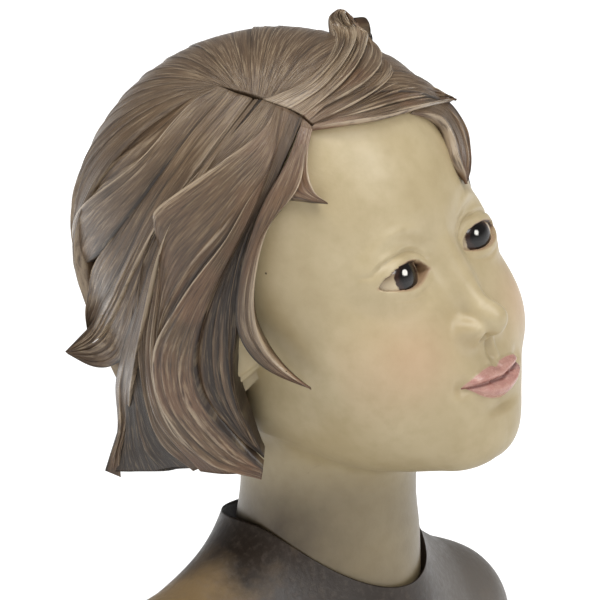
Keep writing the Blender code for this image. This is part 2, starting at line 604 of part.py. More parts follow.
def main():
    for old in list(bpy.data.objects):
        bpy.data.objects.remove(old)
    shelf = bpy.data.collections.new("girl_bust")
    guides = bpy.data.collections.new("cutters")
    for collection in (shelf, guides):
        bpy.context.scene.collection.children.link(collection)

    bust = bmesh.new()
    body_pieces = [skin_piece(), eye_piece(1), eye_piece(-1), shirt_piece(), hair_mass()]
    for piece in body_pieces + near_locks() + top_locks() + back_locks():
        bmesh.ops.recalc_face_normals(piece, faces=piece.faces[:])
        mesh = bpy.data.meshes.new("carving")
        piece.to_mesh(mesh)
        bust.from_mesh(mesh)
        piece.free()
        bpy.data.meshes.remove(mesh)
    for vert in bust.verts:
        vert.co = (vert.co - MIDDLE_OF_BOX) * HEAD
    mesh = bpy.data.meshes.new("girl_bust")
    bust.to_mesh(mesh)
    bust.free()
    body = bpy.data.objects.new("girl_bust", mesh)
    shelf.objects.link(body)
    body.data.materials.append(material("painted_resin", (0.25, 0.17, 0.11), 0.45))

    cast = body.modifiers.new("cast", "REMESH")
    cast.mode = "VOXEL"
    cast.voxel_size = SURFACE_GRAIN
    cast.use_smooth_shade = True
    bpy.context.view_layer.update()
    count = len(body.evaluated_get(bpy.context.evaluated_depsgraph_get()).data.polygons) * 2
    coarse = body.modifiers.new("facets", "DECIMATE")
    coarse.ratio = TRIANGLES / count

    cutter_mesh = bpy.data.meshes.new("below_cut")
    bm = bmesh.new()
    bmesh.ops.create_cube(bm, size=CUTTER_REACH)
    for vert in bm.verts:
        vert.co.z -= CUTTER_REACH / 2
    bm.to_mesh(cutter_mesh)
    bm.free()
    cutter = bpy.data.objects.new("below_cut", cutter_mesh)
    cutter.hide_render = True
    cutter.display_type = "WIRE"
    guides.objects.link(cutter)
    cut = body.modifiers.new("flat_underside", "BOOLEAN")
    cut.operation = "DIFFERENCE"
    cut.object = cutter
    cut.solver = "EXACT"


main()
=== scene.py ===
"""Looks of the painted resin bust of a girl: fine meshes for skin, eyes, hair and shirt over its solid.

Every shape is a share of HEAD, the height of the head, in the solid's own frame: +Z up, facing -Y.
"""
from math import cos, pi, radians, sin

import bpy
import numpy as np
from mathutils import Matrix, Vector


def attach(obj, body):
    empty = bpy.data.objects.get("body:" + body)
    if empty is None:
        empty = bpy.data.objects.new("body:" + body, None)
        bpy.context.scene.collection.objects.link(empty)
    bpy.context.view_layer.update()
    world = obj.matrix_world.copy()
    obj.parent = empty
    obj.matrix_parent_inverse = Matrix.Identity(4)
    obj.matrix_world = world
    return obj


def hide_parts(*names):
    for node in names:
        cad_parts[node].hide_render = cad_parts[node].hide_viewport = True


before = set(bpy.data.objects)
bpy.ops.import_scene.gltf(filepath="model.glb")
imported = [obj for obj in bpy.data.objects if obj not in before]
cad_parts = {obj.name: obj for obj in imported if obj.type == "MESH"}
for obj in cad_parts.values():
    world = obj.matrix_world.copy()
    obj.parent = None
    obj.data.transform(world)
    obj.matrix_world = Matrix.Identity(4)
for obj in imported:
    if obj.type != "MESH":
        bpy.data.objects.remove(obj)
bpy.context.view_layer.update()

# Driving size, in metres, and the point of the shares' frame that stands at the origin
HEAD = 0.075
MIDDLE_OF_BOX = np.array([-0.0003, 0.0002, 0.0])
FINE = 1

# Rays from inside are walked in from here until they meet a surface
RAY_START = 1.2

# Pose, in degrees, and the places of the head and the base, as shares of HEAD
TILT_BACK = 10
LEAN_TO_RIGHT = 14
HEAD_PLACE = np.array([0.0, -0.03, 0.80])
NECK_FOOT = np.array([0.0, 0.035, 0.50])
NECK_RADIUS = 0.205
COLLAR_RADIUS = 0.232
COLLAR_BACK = 0.685
COLLAR_DROP = 0.155
COLLAR_LIP = 0.014

# Face, in the head's own frame: chin at zero, crown at one. What the paint reads is kept in hundredths
SKULL_MIDDLE = np.array([0.0, -0.12, 0.42])
EYE = np.array([0.138, -0.392, 0.472])
EYEBALL = 0.082
LID = 0.0105
EYE_HALF = 0.073
IRIS = 0.043
PUPIL = 0.032
HUNDREDTH = 0.01
LIP_HALF = 0.098
LIP_LINE = 0.186

# Hair: the mean surface of the combed mass, an egg that hangs straight below its middle
HAIR_CENTRE = np.array([0.0, -0.02, 0.60])
HAIR_REACH = np.array([0.42, 0.485, 0.44])
HAIR_HANG = 1.50
HAIR_HEM = 0.14
SHEET_DEPTH = 0.10
TIP_DEPTH = 0.012
HEM_DEPTH = 0.045
ROOT_DIP = 0.012
MASS_SHARE = 0.90
MASS_DRAWN_IN = 0.20
BACK_SHEETS = 12
BACK_TURNS = (-134, -290)
BACK_SWING = 30
BACK_SEED = 4

# How far round from the front the face is open to each side, in degrees, at heights of the head
FACE_OPENING = np.array([(0.90, 0), (0.85, 34), (0.76, 46), (0.66, 58), (0.55, 66), (0.45, 74),
                         (0.40, 86), (0.28, 95), (0.10, 97)])

# The photograph's view: an eye in front of her right shoulder, 600 pixels wide
EYE_TURN = -48
EYE_RISE = 8
EYE_DISTANCE = 8.0
EYE_AIM = np.array([-0.02, 0.10, 1.18])
PIXELS_PER_HEAD = 432
PICTURE_MIDDLE = 300

# Points of a flow line, and how often it, its way off the egg and a sheet's facing are smoothed
COUNT = 81
SMOOTHING = 12
LIFT_OFF = 5
FACING_PASSES = 24

# Points across and along a carved sheet, and every how many of those across its underside has one
SHEET_ACROSS = 48
SHEET_DOWN = 128
UNDERSIDE_STEP = 8

# How far apart the sheets' streaks of paint are read, in millimetres, so that no two are alike
SEED_SHIFT = 37.0


def turn_x(degrees):
    a = radians(degrees)
    return np.array([[1, 0, 0], [0, cos(a), -sin(a)], [0, sin(a), cos(a)]])


def turn_y(degrees):
    a = radians(degrees)
    return np.array([[cos(a), 0, sin(a)], [0, 1, 0], [-sin(a), 0, cos(a)]])


HEAD_TURN = turn_x(-TILT_BACK) @ turn_y(-LEAN_TO_RIGHT)


def to_world(points):
    """From the head's own frame (chin at zero, crown at one) to the bust's frame."""
    return HEAD_PLACE + points @ HEAD_TURN.T


def to_head(points):
    return (points - HEAD_PLACE) @ HEAD_TURN


def metres(points):
    """From shares of HEAD to metres, round the middle of the solid's box."""
    return (np.asarray(points) - MIDDLE_OF_BOX) * HEAD


# Signed distances and their blends

def blend(a, b, width):
    h = np.clip(0.5 + 0.5 * (b - a) / width, 0, 1)
    return b + (a - b) * h - width * h * (1 - h)


def carve(a, b, width):
    return -blend(-a, b, width)


def ellipsoid(p, centre, reach):
    q = (p - np.array(centre)) / np.array(reach)
    near = np.linalg.norm(q, axis=-1)
    slope = np.linalg.norm(q / np.array(reach), axis=-1)
    return near * (near - 1) / np.maximum(slope, 1e-9)


def stick(p, a, b, radius_a, radius_b):
    a, b = np.array(a, float), np.array(b, float)
    along = np.clip((p - a) @ (b - a) / ((b - a) @ (b - a)), 0, 1)
    away = np.linalg.norm(p - a - along[..., None] * (b - a), axis=-1)
    return away - radius_a - along * (radius_b - radius_a)


def both_sides(p):
    return np.stack([np.abs(p[..., 0]), p[..., 1], p[..., 2]], axis=-1)


def ease(x, start=0.0, end=1.0):
    x = np.clip((x - start) / (end - start), 0, 1)
    return x * x * (3 - 2 * x)


def bell(x, width):
    return np.exp(-(x / width) ** 2)


# Face and neck

def skull(p, q):
    d = ellipsoid(p, (0, -0.045, 0.62), (0.355, 0.445, 0.38))
    d = blend(d, ellipsoid(p, (0, -0.225, 0.37), (0.285, 0.265, 0.36)), 0.12)
    d = blend(d, ellipsoid(q, (0.145, -0.325, 0.285), (0.135, 0.145, 0.145)), 0.12)
    d = blend(d, stick(q, (0.235, -0.06, 0.24), (0.05, -0.39, 0.085), 0.06, 0.08), 0.11)
    d = blend(d, ellipsoid(p, (0, -0.425, 0.078), (0.075, 0.072, 0.072)), 0.06)
    return blend(d, ellipsoid(p, (0, -0.415, 0.195), (0.125, 0.095, 0.095)), 0.09)


def nose(p, q):
    d = stick(p, (0, -0.462, 0.475), (0, -0.518, 0.345), 0.030, 0.031)
    d = blend(d, ellipsoid(p, (0, -0.548, 0.322), (0.036, 0.036, 0.034)), 0.030)
    d = blend(d, ellipsoid(q, (0.043, -0.515, 0.311), (0.027, 0.036, 0.026)), 0.014)
    d = blend(d, ellipsoid(p, (0, -0.520, 0.298), (0.018, 0.045, 0.016)), 0.012)
    return carve(d, ellipsoid(q, (0.024, -0.535, 0.286), (0.014, 0.022, 0.014)), 0.008)


def lip_lines(x):
    """Heights of the mouth line and of the lips' upper and lower edges, x from the face's middle."""
    reach = np.clip(1 - (x / LIP_HALF) ** 2, 0, 1)
    line = LIP_LINE + 0.012 * (x / LIP_HALF) ** 2 - 0.0025 * bell(x, 0.016)
    top = line + 0.034 * reach ** 0.7 - 0.007 * bell(x, 0.012) + 0.002
    low = line - 0.040 * np.clip(1 - (x / (0.9 * LIP_HALF)) ** 2, 0, 1) ** 0.75 - 0.001
    return line, top, low, reach


def mouth_relief(p, q):
    x, z = q[..., 0], p[..., 2]
    line, top, low, reach = lip_lines(x)
    t = np.clip((z - line) / (top - line), 0, 1)
    b = np.clip((line - z) / (line - low), 0, 1)
    upper = 0.015 * np.sin(pi * np.clip(t * 0.86 + 0.14, 0, 1)) ** 0.8 * (z >= line) * (t < 1)
    lower = 0.020 * np.sin(pi * np.clip(b * 0.88 + 0.12, 0, 1)) ** 0.8 * (z < line) * (b < 1)
    cleft = 0.013 * bell(z - line, 0.006) * np.clip(1 - (x / (1.1 * LIP_HALF)) ** 4, 0, 1)
    philtrum = 0.006 * bell(x, 0.011) - 0.004 * bell(x - 0.018, 0.008)
    philtrum = philtrum * ease(z, 0.222, 0.236) * ease(-z, -0.290, -0.262)
    corner = 0.010 * bell(x - 0.104, 0.018) * bell(z - 0.200, 0.018)
    under = 0.010 * bell(x, 0.055) * bell(z - 0.128, 0.016)
    return (upper + lower) * reach ** 0.5 - cleft - philtrum - corner - under


def lid_lines(a):
    """Heights of the upper and lower lid edges above the eye's middle, a from the eye's middle outwards."""
    u = np.clip(1 - (a / EYE_HALF) ** 2, 0, 1)
    skew = 0.05 * a
    return 0.033 * u ** 0.75 + skew - 0.10 * a * u, -0.022 * u + skew


def lid_gap(p, q):
    """Below zero between the lids."""
    a, h = q[..., 0] - EYE[0], p[..., 2] - EYE[2]
    top, low = lid_lines(a)
    return np.maximum(np.maximum(h - top, low - h), np.abs(a) - EYE_HALF)


def eyes(d, p, q):
    a, h = q[..., 0] - EYE[0], p[..., 2] - EYE[2]
    away = np.linalg.norm(q - EYE, axis=-1)
    front = ease(-q[..., 1], 0.30, 0.36)
    d = carve(d, ellipsoid(q, (0.128, -0.560, 0.497), (0.105, 0.095, 0.050)), 0.075)
    d = blend(d, away - EYEBALL - LID, 0.028)
    top, low = lid_lines(a)
    crease = bell(h - top - 0.021 - 0.10 * np.abs(a), 0.0055) * np.clip(1.15 - (a / 0.088) ** 2, 0, 1)
    bag = 0.003 * bell(h - low + 0.022, 0.006) * np.clip(1 - (a / 0.07) ** 2, 0, 1)
    d = d + (0.0075 * crease + bag) * front
    open_eye = np.maximum(lid_gap(p, q), EYEBALL - 0.012 - away)
    open_eye = np.where(q[..., 1] < -0.36, open_eye, 1.0)
    return carve(d, open_eye, 0.005)


def ear(q):
    """Outer ear with its rim, the groove inside it, the hollow and the lobe."""
    d = ellipsoid(q, (0.352, -0.040, 0.415), (0.040, 0.080, 0.132))
    ring = np.hypot((q[..., 1] + 0.040) / 0.080, (q[..., 2] - 0.415) / 0.132)
    d = d + 0.010 * bell(ring - 0.70, 0.10) * ease(q[..., 2], 0.33, 0.40)
    return carve(d, ellipsoid(q, (0.398, -0.062, 0.395), (0.034, 0.034, 0.055)), 0.012)


def face(p):
    q = both_sides(p)
    d = eyes(skull(p, q), p, q)
    d = blend(d, nose(p, q), 0.038)
    arch = p[..., 2] - 0.572 + 5.4 * (q[..., 0] - 0.13) ** 2
    brow = 0.006 * bell(arch, 0.016) * bell(q[..., 0] - 0.14, 0.075)
    d = d - (mouth_relief(p, q) + brow) * ease(-q[..., 1], 0.30, 0.40)
    return blend(d, ear(q), 0.02)


def skin(p):
    """Head and neck, in the bust's frame."""
    nape = to_world(np.array([[0.0, -0.03, 0.22]]))[0]
    neck = stick(p, nape, NECK_FOOT, NECK_RADIUS * 0.98, NECK_RADIUS)
    neck = blend(neck, stick(p, NECK_FOOT + [0, 0, 0.12], NECK_FOOT, NECK_RADIUS, NECK_RADIUS * 1.04), 0.05)
    return blend(face(to_head(p)), neck, 0.06)


def torso(p):
    """Shirt over the chest and shoulders, in the bust's frame, running on below the cut."""
    q = both_sides(p)
    d = stick(p, (0, 0.05, 0.74), (0, 0.06, 0.50), 0.20, 0.258)
    d = blend(d, ellipsoid(p, (0, 0.065, 0.12), (0.48, 0.285, 0.52)), 0.08)
    d = blend(d, stick(q, (0.10, 0.09, 0.560), (0.46, 0.10, 0.350), 0.120, 0.165), 0.10)
    return blend(d, stick(q, (0.465, 0.10, 0.350), (0.49, 0.06, -0.40), 0.160, 0.135), 0.05)


# Meshes

def rings_mesh(rings, start, end, fields):
    """Vertices, faces and per-vertex fields of a closed tube of rings with a point at each end."""
    rows, size = rings.shape[:2]
    verts = np.concatenate([rings.reshape(-1, 3), start[None], end[None]])
    here = np.arange(rows * size).reshape(rows, size)
    after = np.roll(here, -1, axis=1)
    quads = np.stack([here[:-1], after[:-1], after[1:], here[1:]], axis=-1).reshape(-1, 4)
    head_fan = np.stack([after[0], here[0], np.full(size, rows * size)], axis=-1)
    tail_fan = np.stack([here[-1], after[-1], np.full(size, rows * size + 1)], axis=-1)
    flat = {}
    for name, value in fields.items():
        tail = value.reshape(rows * size, -1)
        ends = np.stack([value[0].reshape(size, -1).mean(axis=0), value[-1].reshape(size, -1).mean(axis=0)])
        flat[name] = np.concatenate([tail, ends])
    return verts, quads.tolist() + head_fan.tolist() + tail_fan.tolist(), flat


def piece(name, parts, material):
    """One shown piece from several tubes, with their fields as attributes and "strand" as its UV map."""
    verts, faces, fields, base = [], [], {}, 0
    for part_verts, part_faces, part_fields in parts:
        verts.append(part_verts)
        faces.extend([[base + i for i in face] for face in part_faces])
        base += len(part_verts)
        for key, value in part_fields.items():
            fields.setdefault(key, []).append(value)
    mesh = bpy.data.meshes.new(name)
    mesh.from_pydata(metres(np.concatenate(verts)).tolist(), [], faces)
    for key, values in fields.items():
        value = np.concatenate(values).astype(np.float32)
        if key == "strand":
            corners = np.empty(len(mesh.loops), np.int32)
            mesh.loops.foreach_get("vertex_index", corners)
            mesh.uv_layers.new(name=key).data.foreach_set("uv", value[corners].ravel())
        else:
            mesh.attributes.new(key, "FLOAT", "POINT").data.foreach_set("value", value.ravel())
    mesh.shade_smooth()
    mesh.materials.append(material)
    obj = bpy.data.objects.new(name, mesh)
    bpy.context.scene.collection.objects.link(obj)
    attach(obj, "root")
    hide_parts("girl_bust")
    return obj


def march(field, origin, direction, reach, steps, stride):
    """Walk in along each ray, by a share of the way that is left at each step, until the field is met."""
    for _ in range(steps):
        reach = np.clip(reach - stride * field(origin + direction * reach[..., None]), 0.01, RAY_START)
    return reach


def finer(grid, rows, columns):
    """A coarse grid of rays, closed across, read at a finer grid's places."""
    down = np.linspace(0, grid.shape[0] - 1, rows)
    i = np.minimum(down.astype(int), grid.shape[0] - 2)
    part = (down - i)[:, None]
    tall = grid[i] * (1 - part) + grid[i + 1] * part
    across = np.arange(columns) * grid.shape[1] / columns
    j = across.astype(int)
    part = across - j
    return tall[:, j] * (1 - part) + tall[:, (j + 1) % grid.shape[1]] * part


def skin_rays(rows, columns):
    """Rays from inside the skull, closest together over the face, then from the neck's axis down into
    the shirt. Returns their origins and directions."""
    share = np.linspace(0, 1, rows)[:, None]
    turn = np.linspace(-pi, pi, columns, endpoint=False)[None, :]
    turn = turn - 0.55 * np.sin(turn) + 0 * share
    fall = ease(share, 0.86, 1.0)[..., None]
    dip = np.radians(np.interp(share / 0.86, [0, 0.16, 0.93, 1], [88, 32, -48, -62])) * (1 - fall[..., 0])
    level = np.cos(dip)
    local = np.stack([np.sin(turn) * level, -np.cos(turn) * level, np.sin(dip) + 0 * turn], axis=-1)
    direction = (local @ HEAD_TURN.T) * (1 - fall) + local * fall
    direction = direction / np.linalg.norm(direction, axis=-1)[..., None]
    foot = NECK_FOOT - [0, 0, 0.16]
    origin = to_world(SKULL_MIDDLE[None])[0] * (1 - fall) + foot * fall
    return origin + 0 * direction, direction


def under_jaw(p):
    """Where painted shade lies on the skin: under the jaw and down the neck, more towards the back, and
    behind the ears.
    """
    below = ease(0.15 - p[..., 2], 0, 0.20) * ease(p[..., 1], -0.42, -0.30)
    below = below * (0.22 + 0.78 * ease(p[..., 1], -0.26, 0.04))
    beside = bell(np.abs(p[..., 0]) - 0.34, 0.10) * bell(p[..., 2] - 0.28, 0.16)
    beside = beside * ease(p[..., 1], -0.14, 0.0)
    return np.maximum(below, beside)


def skin_piece(material):
    rows, columns = 250 // FINE, 384 // FINE
    origin, direction = skin_rays(rows // 4, columns // 4)
    reach = march(skin, origin, direction, np.full(origin.shape[:2], RAY_START), 30, 0.85)
    origin, direction = skin_rays(rows, columns)
    reach = march(skin, origin, direction, finer(reach, rows, columns), 14, 0.6)
    rings = origin + direction * reach[..., None]
    local = to_head(rings)
    q = both_sides(local)
    line, top, low, _ = lip_lines(q[..., 0])
    front = ease(-local[..., 1], 0.30, 0.36)
    lips = np.minimum(top - local[..., 2], local[..., 2] - low) - 0.05 * (1 - front)
    lips = np.where(q[..., 0] < LIP_HALF, lips, -0.05)
    fields = {"lips": lips / HUNDREDTH, "mouth_line": (local[..., 2] - line) / HUNDREDTH,
              "lid": (lid_gap(local, q) + 0.1 * (1 - front)) / HUNDREDTH,
              "cheek": bell(q[..., 0] - 0.20, 0.09) * bell(local[..., 2] - 0.30, 0.09) * front,
              "upper_lid": ease(local[..., 2] - EYE[2], -0.004, 0.008),
              "wash": under_jaw(local)}
    crown = to_world(np.array([[0.0, -0.10, 0.99]]))[0]
    return piece("skin", [rings_mesh(rings, crown, NECK_FOOT - [0, 0, 0.16], fields)], material)


def eye_piece(side, material):
    """Ball with its iris turned forward, as painted on the cast: dark, with a dot of white."""
    rows, columns = 96 // FINE, 96 // FINE
    turn = np.linspace(-pi, pi, columns, endpoint=False)[None, :]
    fall = np.linspace(0.02, pi - 0.02, rows)[:, None]
    ring = np.sin(fall)
    ball = np.stack([ring * np.sin(turn), -np.cos(fall) + 0 * turn, ring * np.cos(turn)], axis=-1)
    centre = EYE * [side, 1, 1]
    gaze = np.array([-0.06 * side, -1.0, 0.02])
    gaze = gaze / np.linalg.norm(gaze)
    dot = gaze * EYEBALL + [-0.012, 0, 0.014]
    dot = dot / np.linalg.norm(dot)
    fields = {"iris": np.arccos(np.clip(ball @ gaze, -1, 1)) * EYEBALL / HUNDREDTH,
              "dot": np.arccos(np.clip(ball @ dot, -1, 1)) * EYEBALL / HUNDREDTH,
              "upper": ball[..., 2] * EYEBALL / HUNDREDTH}
    rings = to_world(centre + ball * EYEBALL)
    ends = to_world(centre + np.array([[0, -EYEBALL, 0], [0, EYEBALL, 0]]))
    name = "eye_left" if side > 0 else "eye_right"
    return piece(name, [rings_mesh(rings, ends[0], ends[1], fields)], material)


def shirt_piece(material):
    """Rays from the chest up to the neckline, level ones down to the cut, then the flat underside."""
    rows, columns = 200 // FINE, 320 // FINE
    share = np.linspace(0, 1, rows)[:, None]
    turn = np.linspace(-pi, pi, columns, endpoint=False)[None, :]
    chest = np.array([0.0, 0.045, 0.25])
    level = np.stack([np.sin(turn), -np.cos(turn), 0 * turn], axis=-1)
    rim_height = COLLAR_BACK - COLLAR_DROP * np.clip(np.cos(turn), 0, 1) ** 1.5
    top = np.arctan2(rim_height - chest[2], COLLAR_RADIUS)
    dip = top * (1 - np.clip(share / 0.68, 0, 1))
    fall = np.clip((share - 0.68) / 0.32, 0, 1)[..., None]
    origin = chest * (1 - fall) + np.array([0, 0.045, 0]) * fall + 0 * level
    direction = level * np.cos(dip)[..., None] + np.array([0, 0, 1]) * np.sin(dip)[..., None]
    start = np.full(origin.shape[:2], RAY_START)
    reach = march(lambda p: torso(p) - COLLAR_LIP, origin, direction, start, 40, 0.8)
    rings = origin + direction * reach[..., None]
    rim = rings[0]
    inside = [rim * [0.985, 1, 1] - [0, 0, 0.012], rim * [0.93, 0.93, 1] - [0, 0, 0.04]]
    foot = [rings[-1] * [f, f, 0] for f in (0.995, 0.9, 0.5)]
    rings = np.concatenate([np.stack(inside[::-1]), rings, np.stack(foot)])
    # Her right shoulder gets golden-brown paint and painted light, her left one a painted sheen
    fields = {"glaze": ease(-rings[..., 0], 0.22, 0.48), "sheen": ease(rings[..., 0], 0.02, 0.34)}
    start, end = np.array([0, 0.045, COLLAR_BACK - 0.12]), np.array([0, 0.045, 0.0])
    return piece("shirt", [rings_mesh(rings, start, end, fields)], material)


# Hair: flow lines on the egg, and carved sheets between them

def eye_axes():
    a, e = radians(EYE_TURN), radians(EYE_RISE)
    back = np.array([sin(a) * cos(e), -cos(a) * cos(e), sin(e)])
    right = np.array([cos(a), sin(a), 0.0])
    return back, right, np.cross(back, right)


def egg_factor(p):
    """How far a point of the head's frame is out from the hair's mean surface: 1 is on it."""
    q = p - HAIR_CENTRE
    reach = np.where(q[..., 2:] < 0, HAIR_HANG, HAIR_REACH[2])
    return np.sqrt((q[..., 0] / HAIR_REACH[0]) ** 2 + (q[..., 1] / HAIR_REACH[1]) ** 2
                   + (q[..., 2] / reach[..., 0]) ** 2)


def smooth_line(points, count):
    """A Catmull-Rom line through a few points, read at even steps."""
    p = np.array(points, float)
    p = np.vstack([2 * p[0] - p[1], p, 2 * p[-1] - p[-2]])
    place = np.linspace(0, len(p) - 3.000001, count)
    i = place.astype(int)
    t = (place - i)[:, None]
    a, b, c, d = p[i], p[i + 1], p[i + 2], p[i + 3]
    bend, twist = 2 * a - 5 * b + 4 * c - d, 3 * b - a - 3 * c + d
    return 0.5 * (2 * b + (c - a) * t + bend * t ** 2 + twist * t ** 3)


def seen(points):
    """A line drawn in the photograph's view, laid on the egg. Where it runs out past the egg's edge, it
    comes off the surface smoothly and ends beside it."""
    back, right, up = eye_axes()
    pixels = smooth_line(points, COUNT)
    scale = PIXELS_PER_HEAD * EYE_DISTANCE
    ray = (-back + np.outer(pixels[:, 0] - PICTURE_MIDDLE, right) / scale
           + np.outer(PICTURE_MIDDLE - pixels[:, 1], up) / scale)
    eye = EYE_AIM + back * EYE_DISTANCE
    steps = np.linspace(EYE_DISTANCE - 1.2, EYE_DISTANCE + 0.6, 721)
    places = to_head(eye + ray[:, None, :] * steps[None, :, None])
    factor = egg_factor(places)
    inside = factor < 1
    pick = np.where(inside.any(axis=1), inside.argmax(axis=1), factor.argmin(axis=1))
    met = steps[pick]
    reach = met.copy()
    for _ in range(LIFT_OFF * SMOOTHING):
        reach[1:-1] = (reach[:-2] + 2 * reach[1:-1] + reach[2:]) / 4
    line = to_head(eye + ray * np.minimum(reach, met)[:, None])
    for _ in range(SMOOTHING):
        line[1:-1] = (line[:-2] + 2 * line[1:-1] + line[2:]) / 4
    return line


def on_egg(turn, height):
    """A point of the egg by its turn (0 in front, minus on her right) and height in the head's frame."""
    z = height - HAIR_CENTRE[2]
    ring = np.sqrt(max(1 - (z / (HAIR_HANG if z < 0 else HAIR_REACH[2])) ** 2, 0))
    a = radians(turn)
    return np.array([HAIR_REACH[0] * ring * sin(a), HAIR_CENTRE[1] - HAIR_REACH[1] * ring * cos(a), height])


def on_surface(line, out):
    return HAIR_CENTRE + (line - HAIR_CENTRE) * (out / egg_factor(line))[:, None]


def combed(root, over, side, end, hem, flare):
    """A line combed from a root over the crown and down to the hem, through a turn at each of three
    heights, flaring out towards its end."""
    rim = on_egg(over, 0.66)
    stops = [root, (root + rim) / 2, rim, on_egg(side, 0.40), on_egg(end, hem)]
    out = 1 + (flare - 1) * np.linspace(0, 1, COUNT) ** 4
    return on_surface(smooth_line(stops, COUNT), out)


def laid(places):
    """A line through a few places on the egg, each a turn and a height."""
    return on_surface(smooth_line([on_egg(*place) for place in places], COUNT), np.ones(COUNT))


def strands(share, along, count, rng, steep=0.14):
    """Ridges across a sheet, each with a steep side and a long one. They wander, start at different
    places along the sheet and differ in width and height."""
    phase = rng.uniform(0, 2 * pi, 3)
    bent = share + 0.05 * np.sin(2 * pi * share * 1.3 + phase[0])
    bent = bent + 0.02 * np.sin(2 * pi * share * 3.1 + phase[1])
    place = bent * count + 0.30 * np.sin(2 * pi * along * rng.uniform(0.5, 1.0) + phase[2]) + rng.uniform()
    cell = np.clip(np.floor(place).astype(int) + 1, 0, count + 3)
    strength = rng.uniform(0.3, 1.0, count + 4)[cell]
    begin = rng.uniform(0.0, 0.4, count + 4)[cell]
    part = place - np.floor(place)
    return strength * ease(along, begin, begin + 0.3) * ease(part, 0.0, steep) * (1 - part) ** 1.3


def facing(base, ray, out):
    """Which way a sheet rises: straight out from the egg where it lies on it, and square to itself where
    it stands off it. The length is that of the egg's own reach there."""
    reach = np.linalg.norm(ray, axis=-1)[..., None]
    own = np.cross(np.gradient(base, axis=0), np.gradient(base, axis=1))
    own = own * np.sign((own * ray).sum())
    own = own / np.maximum(np.linalg.norm(own, axis=-1), 1e-9)[..., None]
    free = ease(out, 1.0, 1.05)[..., None]
    mean = ray / reach * (1 - free) + own * free
    mean[-3:] = mean[-4]
    for _ in range(FACING_PASSES // FINE):
        mean[:, 1:-1] = (mean[:, :-2] + mean[:, 1:-1] + mean[:, 2:]) / 3
        mean[:, 0], mean[:, -1] = mean[:, 1], mean[:, -2]
        mean[1:-1] = (mean[:-2] + mean[1:-1] + mean[2:]) / 3
    return mean / np.linalg.norm(mean, axis=-1)[..., None] * reach


def sheet(upper, lower, crest, comb, count, seed, lift=0.0, warm=0.0, crest_keeps=None, dark=0.0,
          end=HEM_DEPTH, calm=0.0):
    """A carved sheet of hair between two flow lines, from its root to its tip: a sharp crest along the
    upper line, falling to the lower one, with comb marks. It rises out of the parting, and its
    underside is sunk in the mass below. crest_keeps gives the share of the crest's height that is left
    at places along it, and calm makes the part by the root smooth. For the paint, warm says how much
    of the warm brown the sheet gets, and dark how much painted shade; below nought, dark gives it
    painted light."""
    rng = np.random.default_rng(seed)
    across, down = SHEET_ACROSS // FINE, SHEET_DOWN // FINE
    step = np.linspace(0, COUNT - 1, down)
    upper, lower = (np.stack([np.interp(step, np.arange(COUNT), line[:, k]) for k in range(3)], axis=1)
                    for line in (smooth(upper), smooth(lower)))
    share = np.linspace(0, 1, across)[None, :]
    along = np.linspace(0, 1, down)[:, None]
    flat = upper[:, None] * (1 - share[..., None]) + lower[:, None] * share[..., None]
    out = -blend(-egg_factor(flat), -1.0, 0.02) - ROOT_DIP * (1 - ease(along, 0, 0.12))
    swell = ease(along, 0, 0.30) * (0.45 + 0.55 * ease(1 - along, 0, 0.12))
    if crest_keeps:
        swell = swell * np.interp(along, *zip(*crest_keeps))
    fade = ease(1 - along, 0, 0.1)
    edge = 0.3 + 0.7 * ease(share, 0, 0.08) * ease(1 - share, 0, 0.08)
    fade = fade * (1 - 0.7 * calm * (1 - ease(along, 0.10, 0.50)))
    swell = swell * (1 - calm * (1 - ease(along, 0.20, 0.60)))
    broad = strands(share, along, count, rng)
    narrow = strands(share, along, 3 * count, rng)
    thin = strands(share, along, 7 * count, rng, 0.3)
    marks = fade * edge * (broad + 0.28 * narrow + 0.07 * thin)
    sunk = lift * ease(along, 0, 0.3)
    rise = sunk + crest * swell * (1 - share) ** 1.25 + comb * (marks - 0.4)
    ray = (flat - HAIR_CENTRE) / egg_factor(flat)[..., None]
    base = ray * out[..., None]
    outward = facing(base, ray, out)
    top = base + outward * rise[..., None]
    depth = end + (SHEET_DEPTH - end) * ease(1 - along, 0, 0.25)
    under = (sunk - depth)[..., None]
    low = base[:, ::-UNDERSIDE_STEP] + outward[:, ::-UNDERSIDE_STEP] * under
    rings = HAIR_CENTRE + np.concatenate([top, low], axis=1)
    width = np.linalg.norm(upper - lower, axis=1).mean() * HEAD * 1000
    length = np.linalg.norm(np.diff(upper, axis=0), axis=1).sum() * HEAD * 1000
    # Lightness for the paint: crest edge and comb marks brushed pale with a dry brush, painted shade along
    # the lower line under the next sheet's crest and by dark, painted light where dark is below nought, and
    # paler towards the root
    high = 0.15 + 0.75 * marks + 0.7 * bell(share, 0.06) * swell - 0.3 * bell(1 - share, 0.12) - dark
    high = high + 0.35 * (1 - ease(along, 0, 0.45))
    beside = (share - 0.5) * width + SEED_SHIFT * seed + 0 * along
    fields = {"strand": np.stack([beside, along * length + 0 * share], axis=-1),
              "crest": high, "warm": warm + 0.3 * ease(along, 0.75, 1.0) + 0 * high}
    fields = {key: np.concatenate([value, value[:, ::-UNDERSIDE_STEP]], axis=1)
              for key, value in fields.items()}
    # The underside gets the darkest paint: painted shade under the sheet
    fields["crest"][:, across:] = 0.0
    rings = to_world(rings)
    return rings_mesh(rings, rings[0].mean(axis=0), rings[-1].mean(axis=0), fields)


def smooth(line):
    """The same line with its ends kept and small kinks taken out."""
    line = line.copy()
    for _ in range(2):
        line[1:-1] = (line[:-2] + 2 * line[1:-1] + line[2:]) / 4
    return line


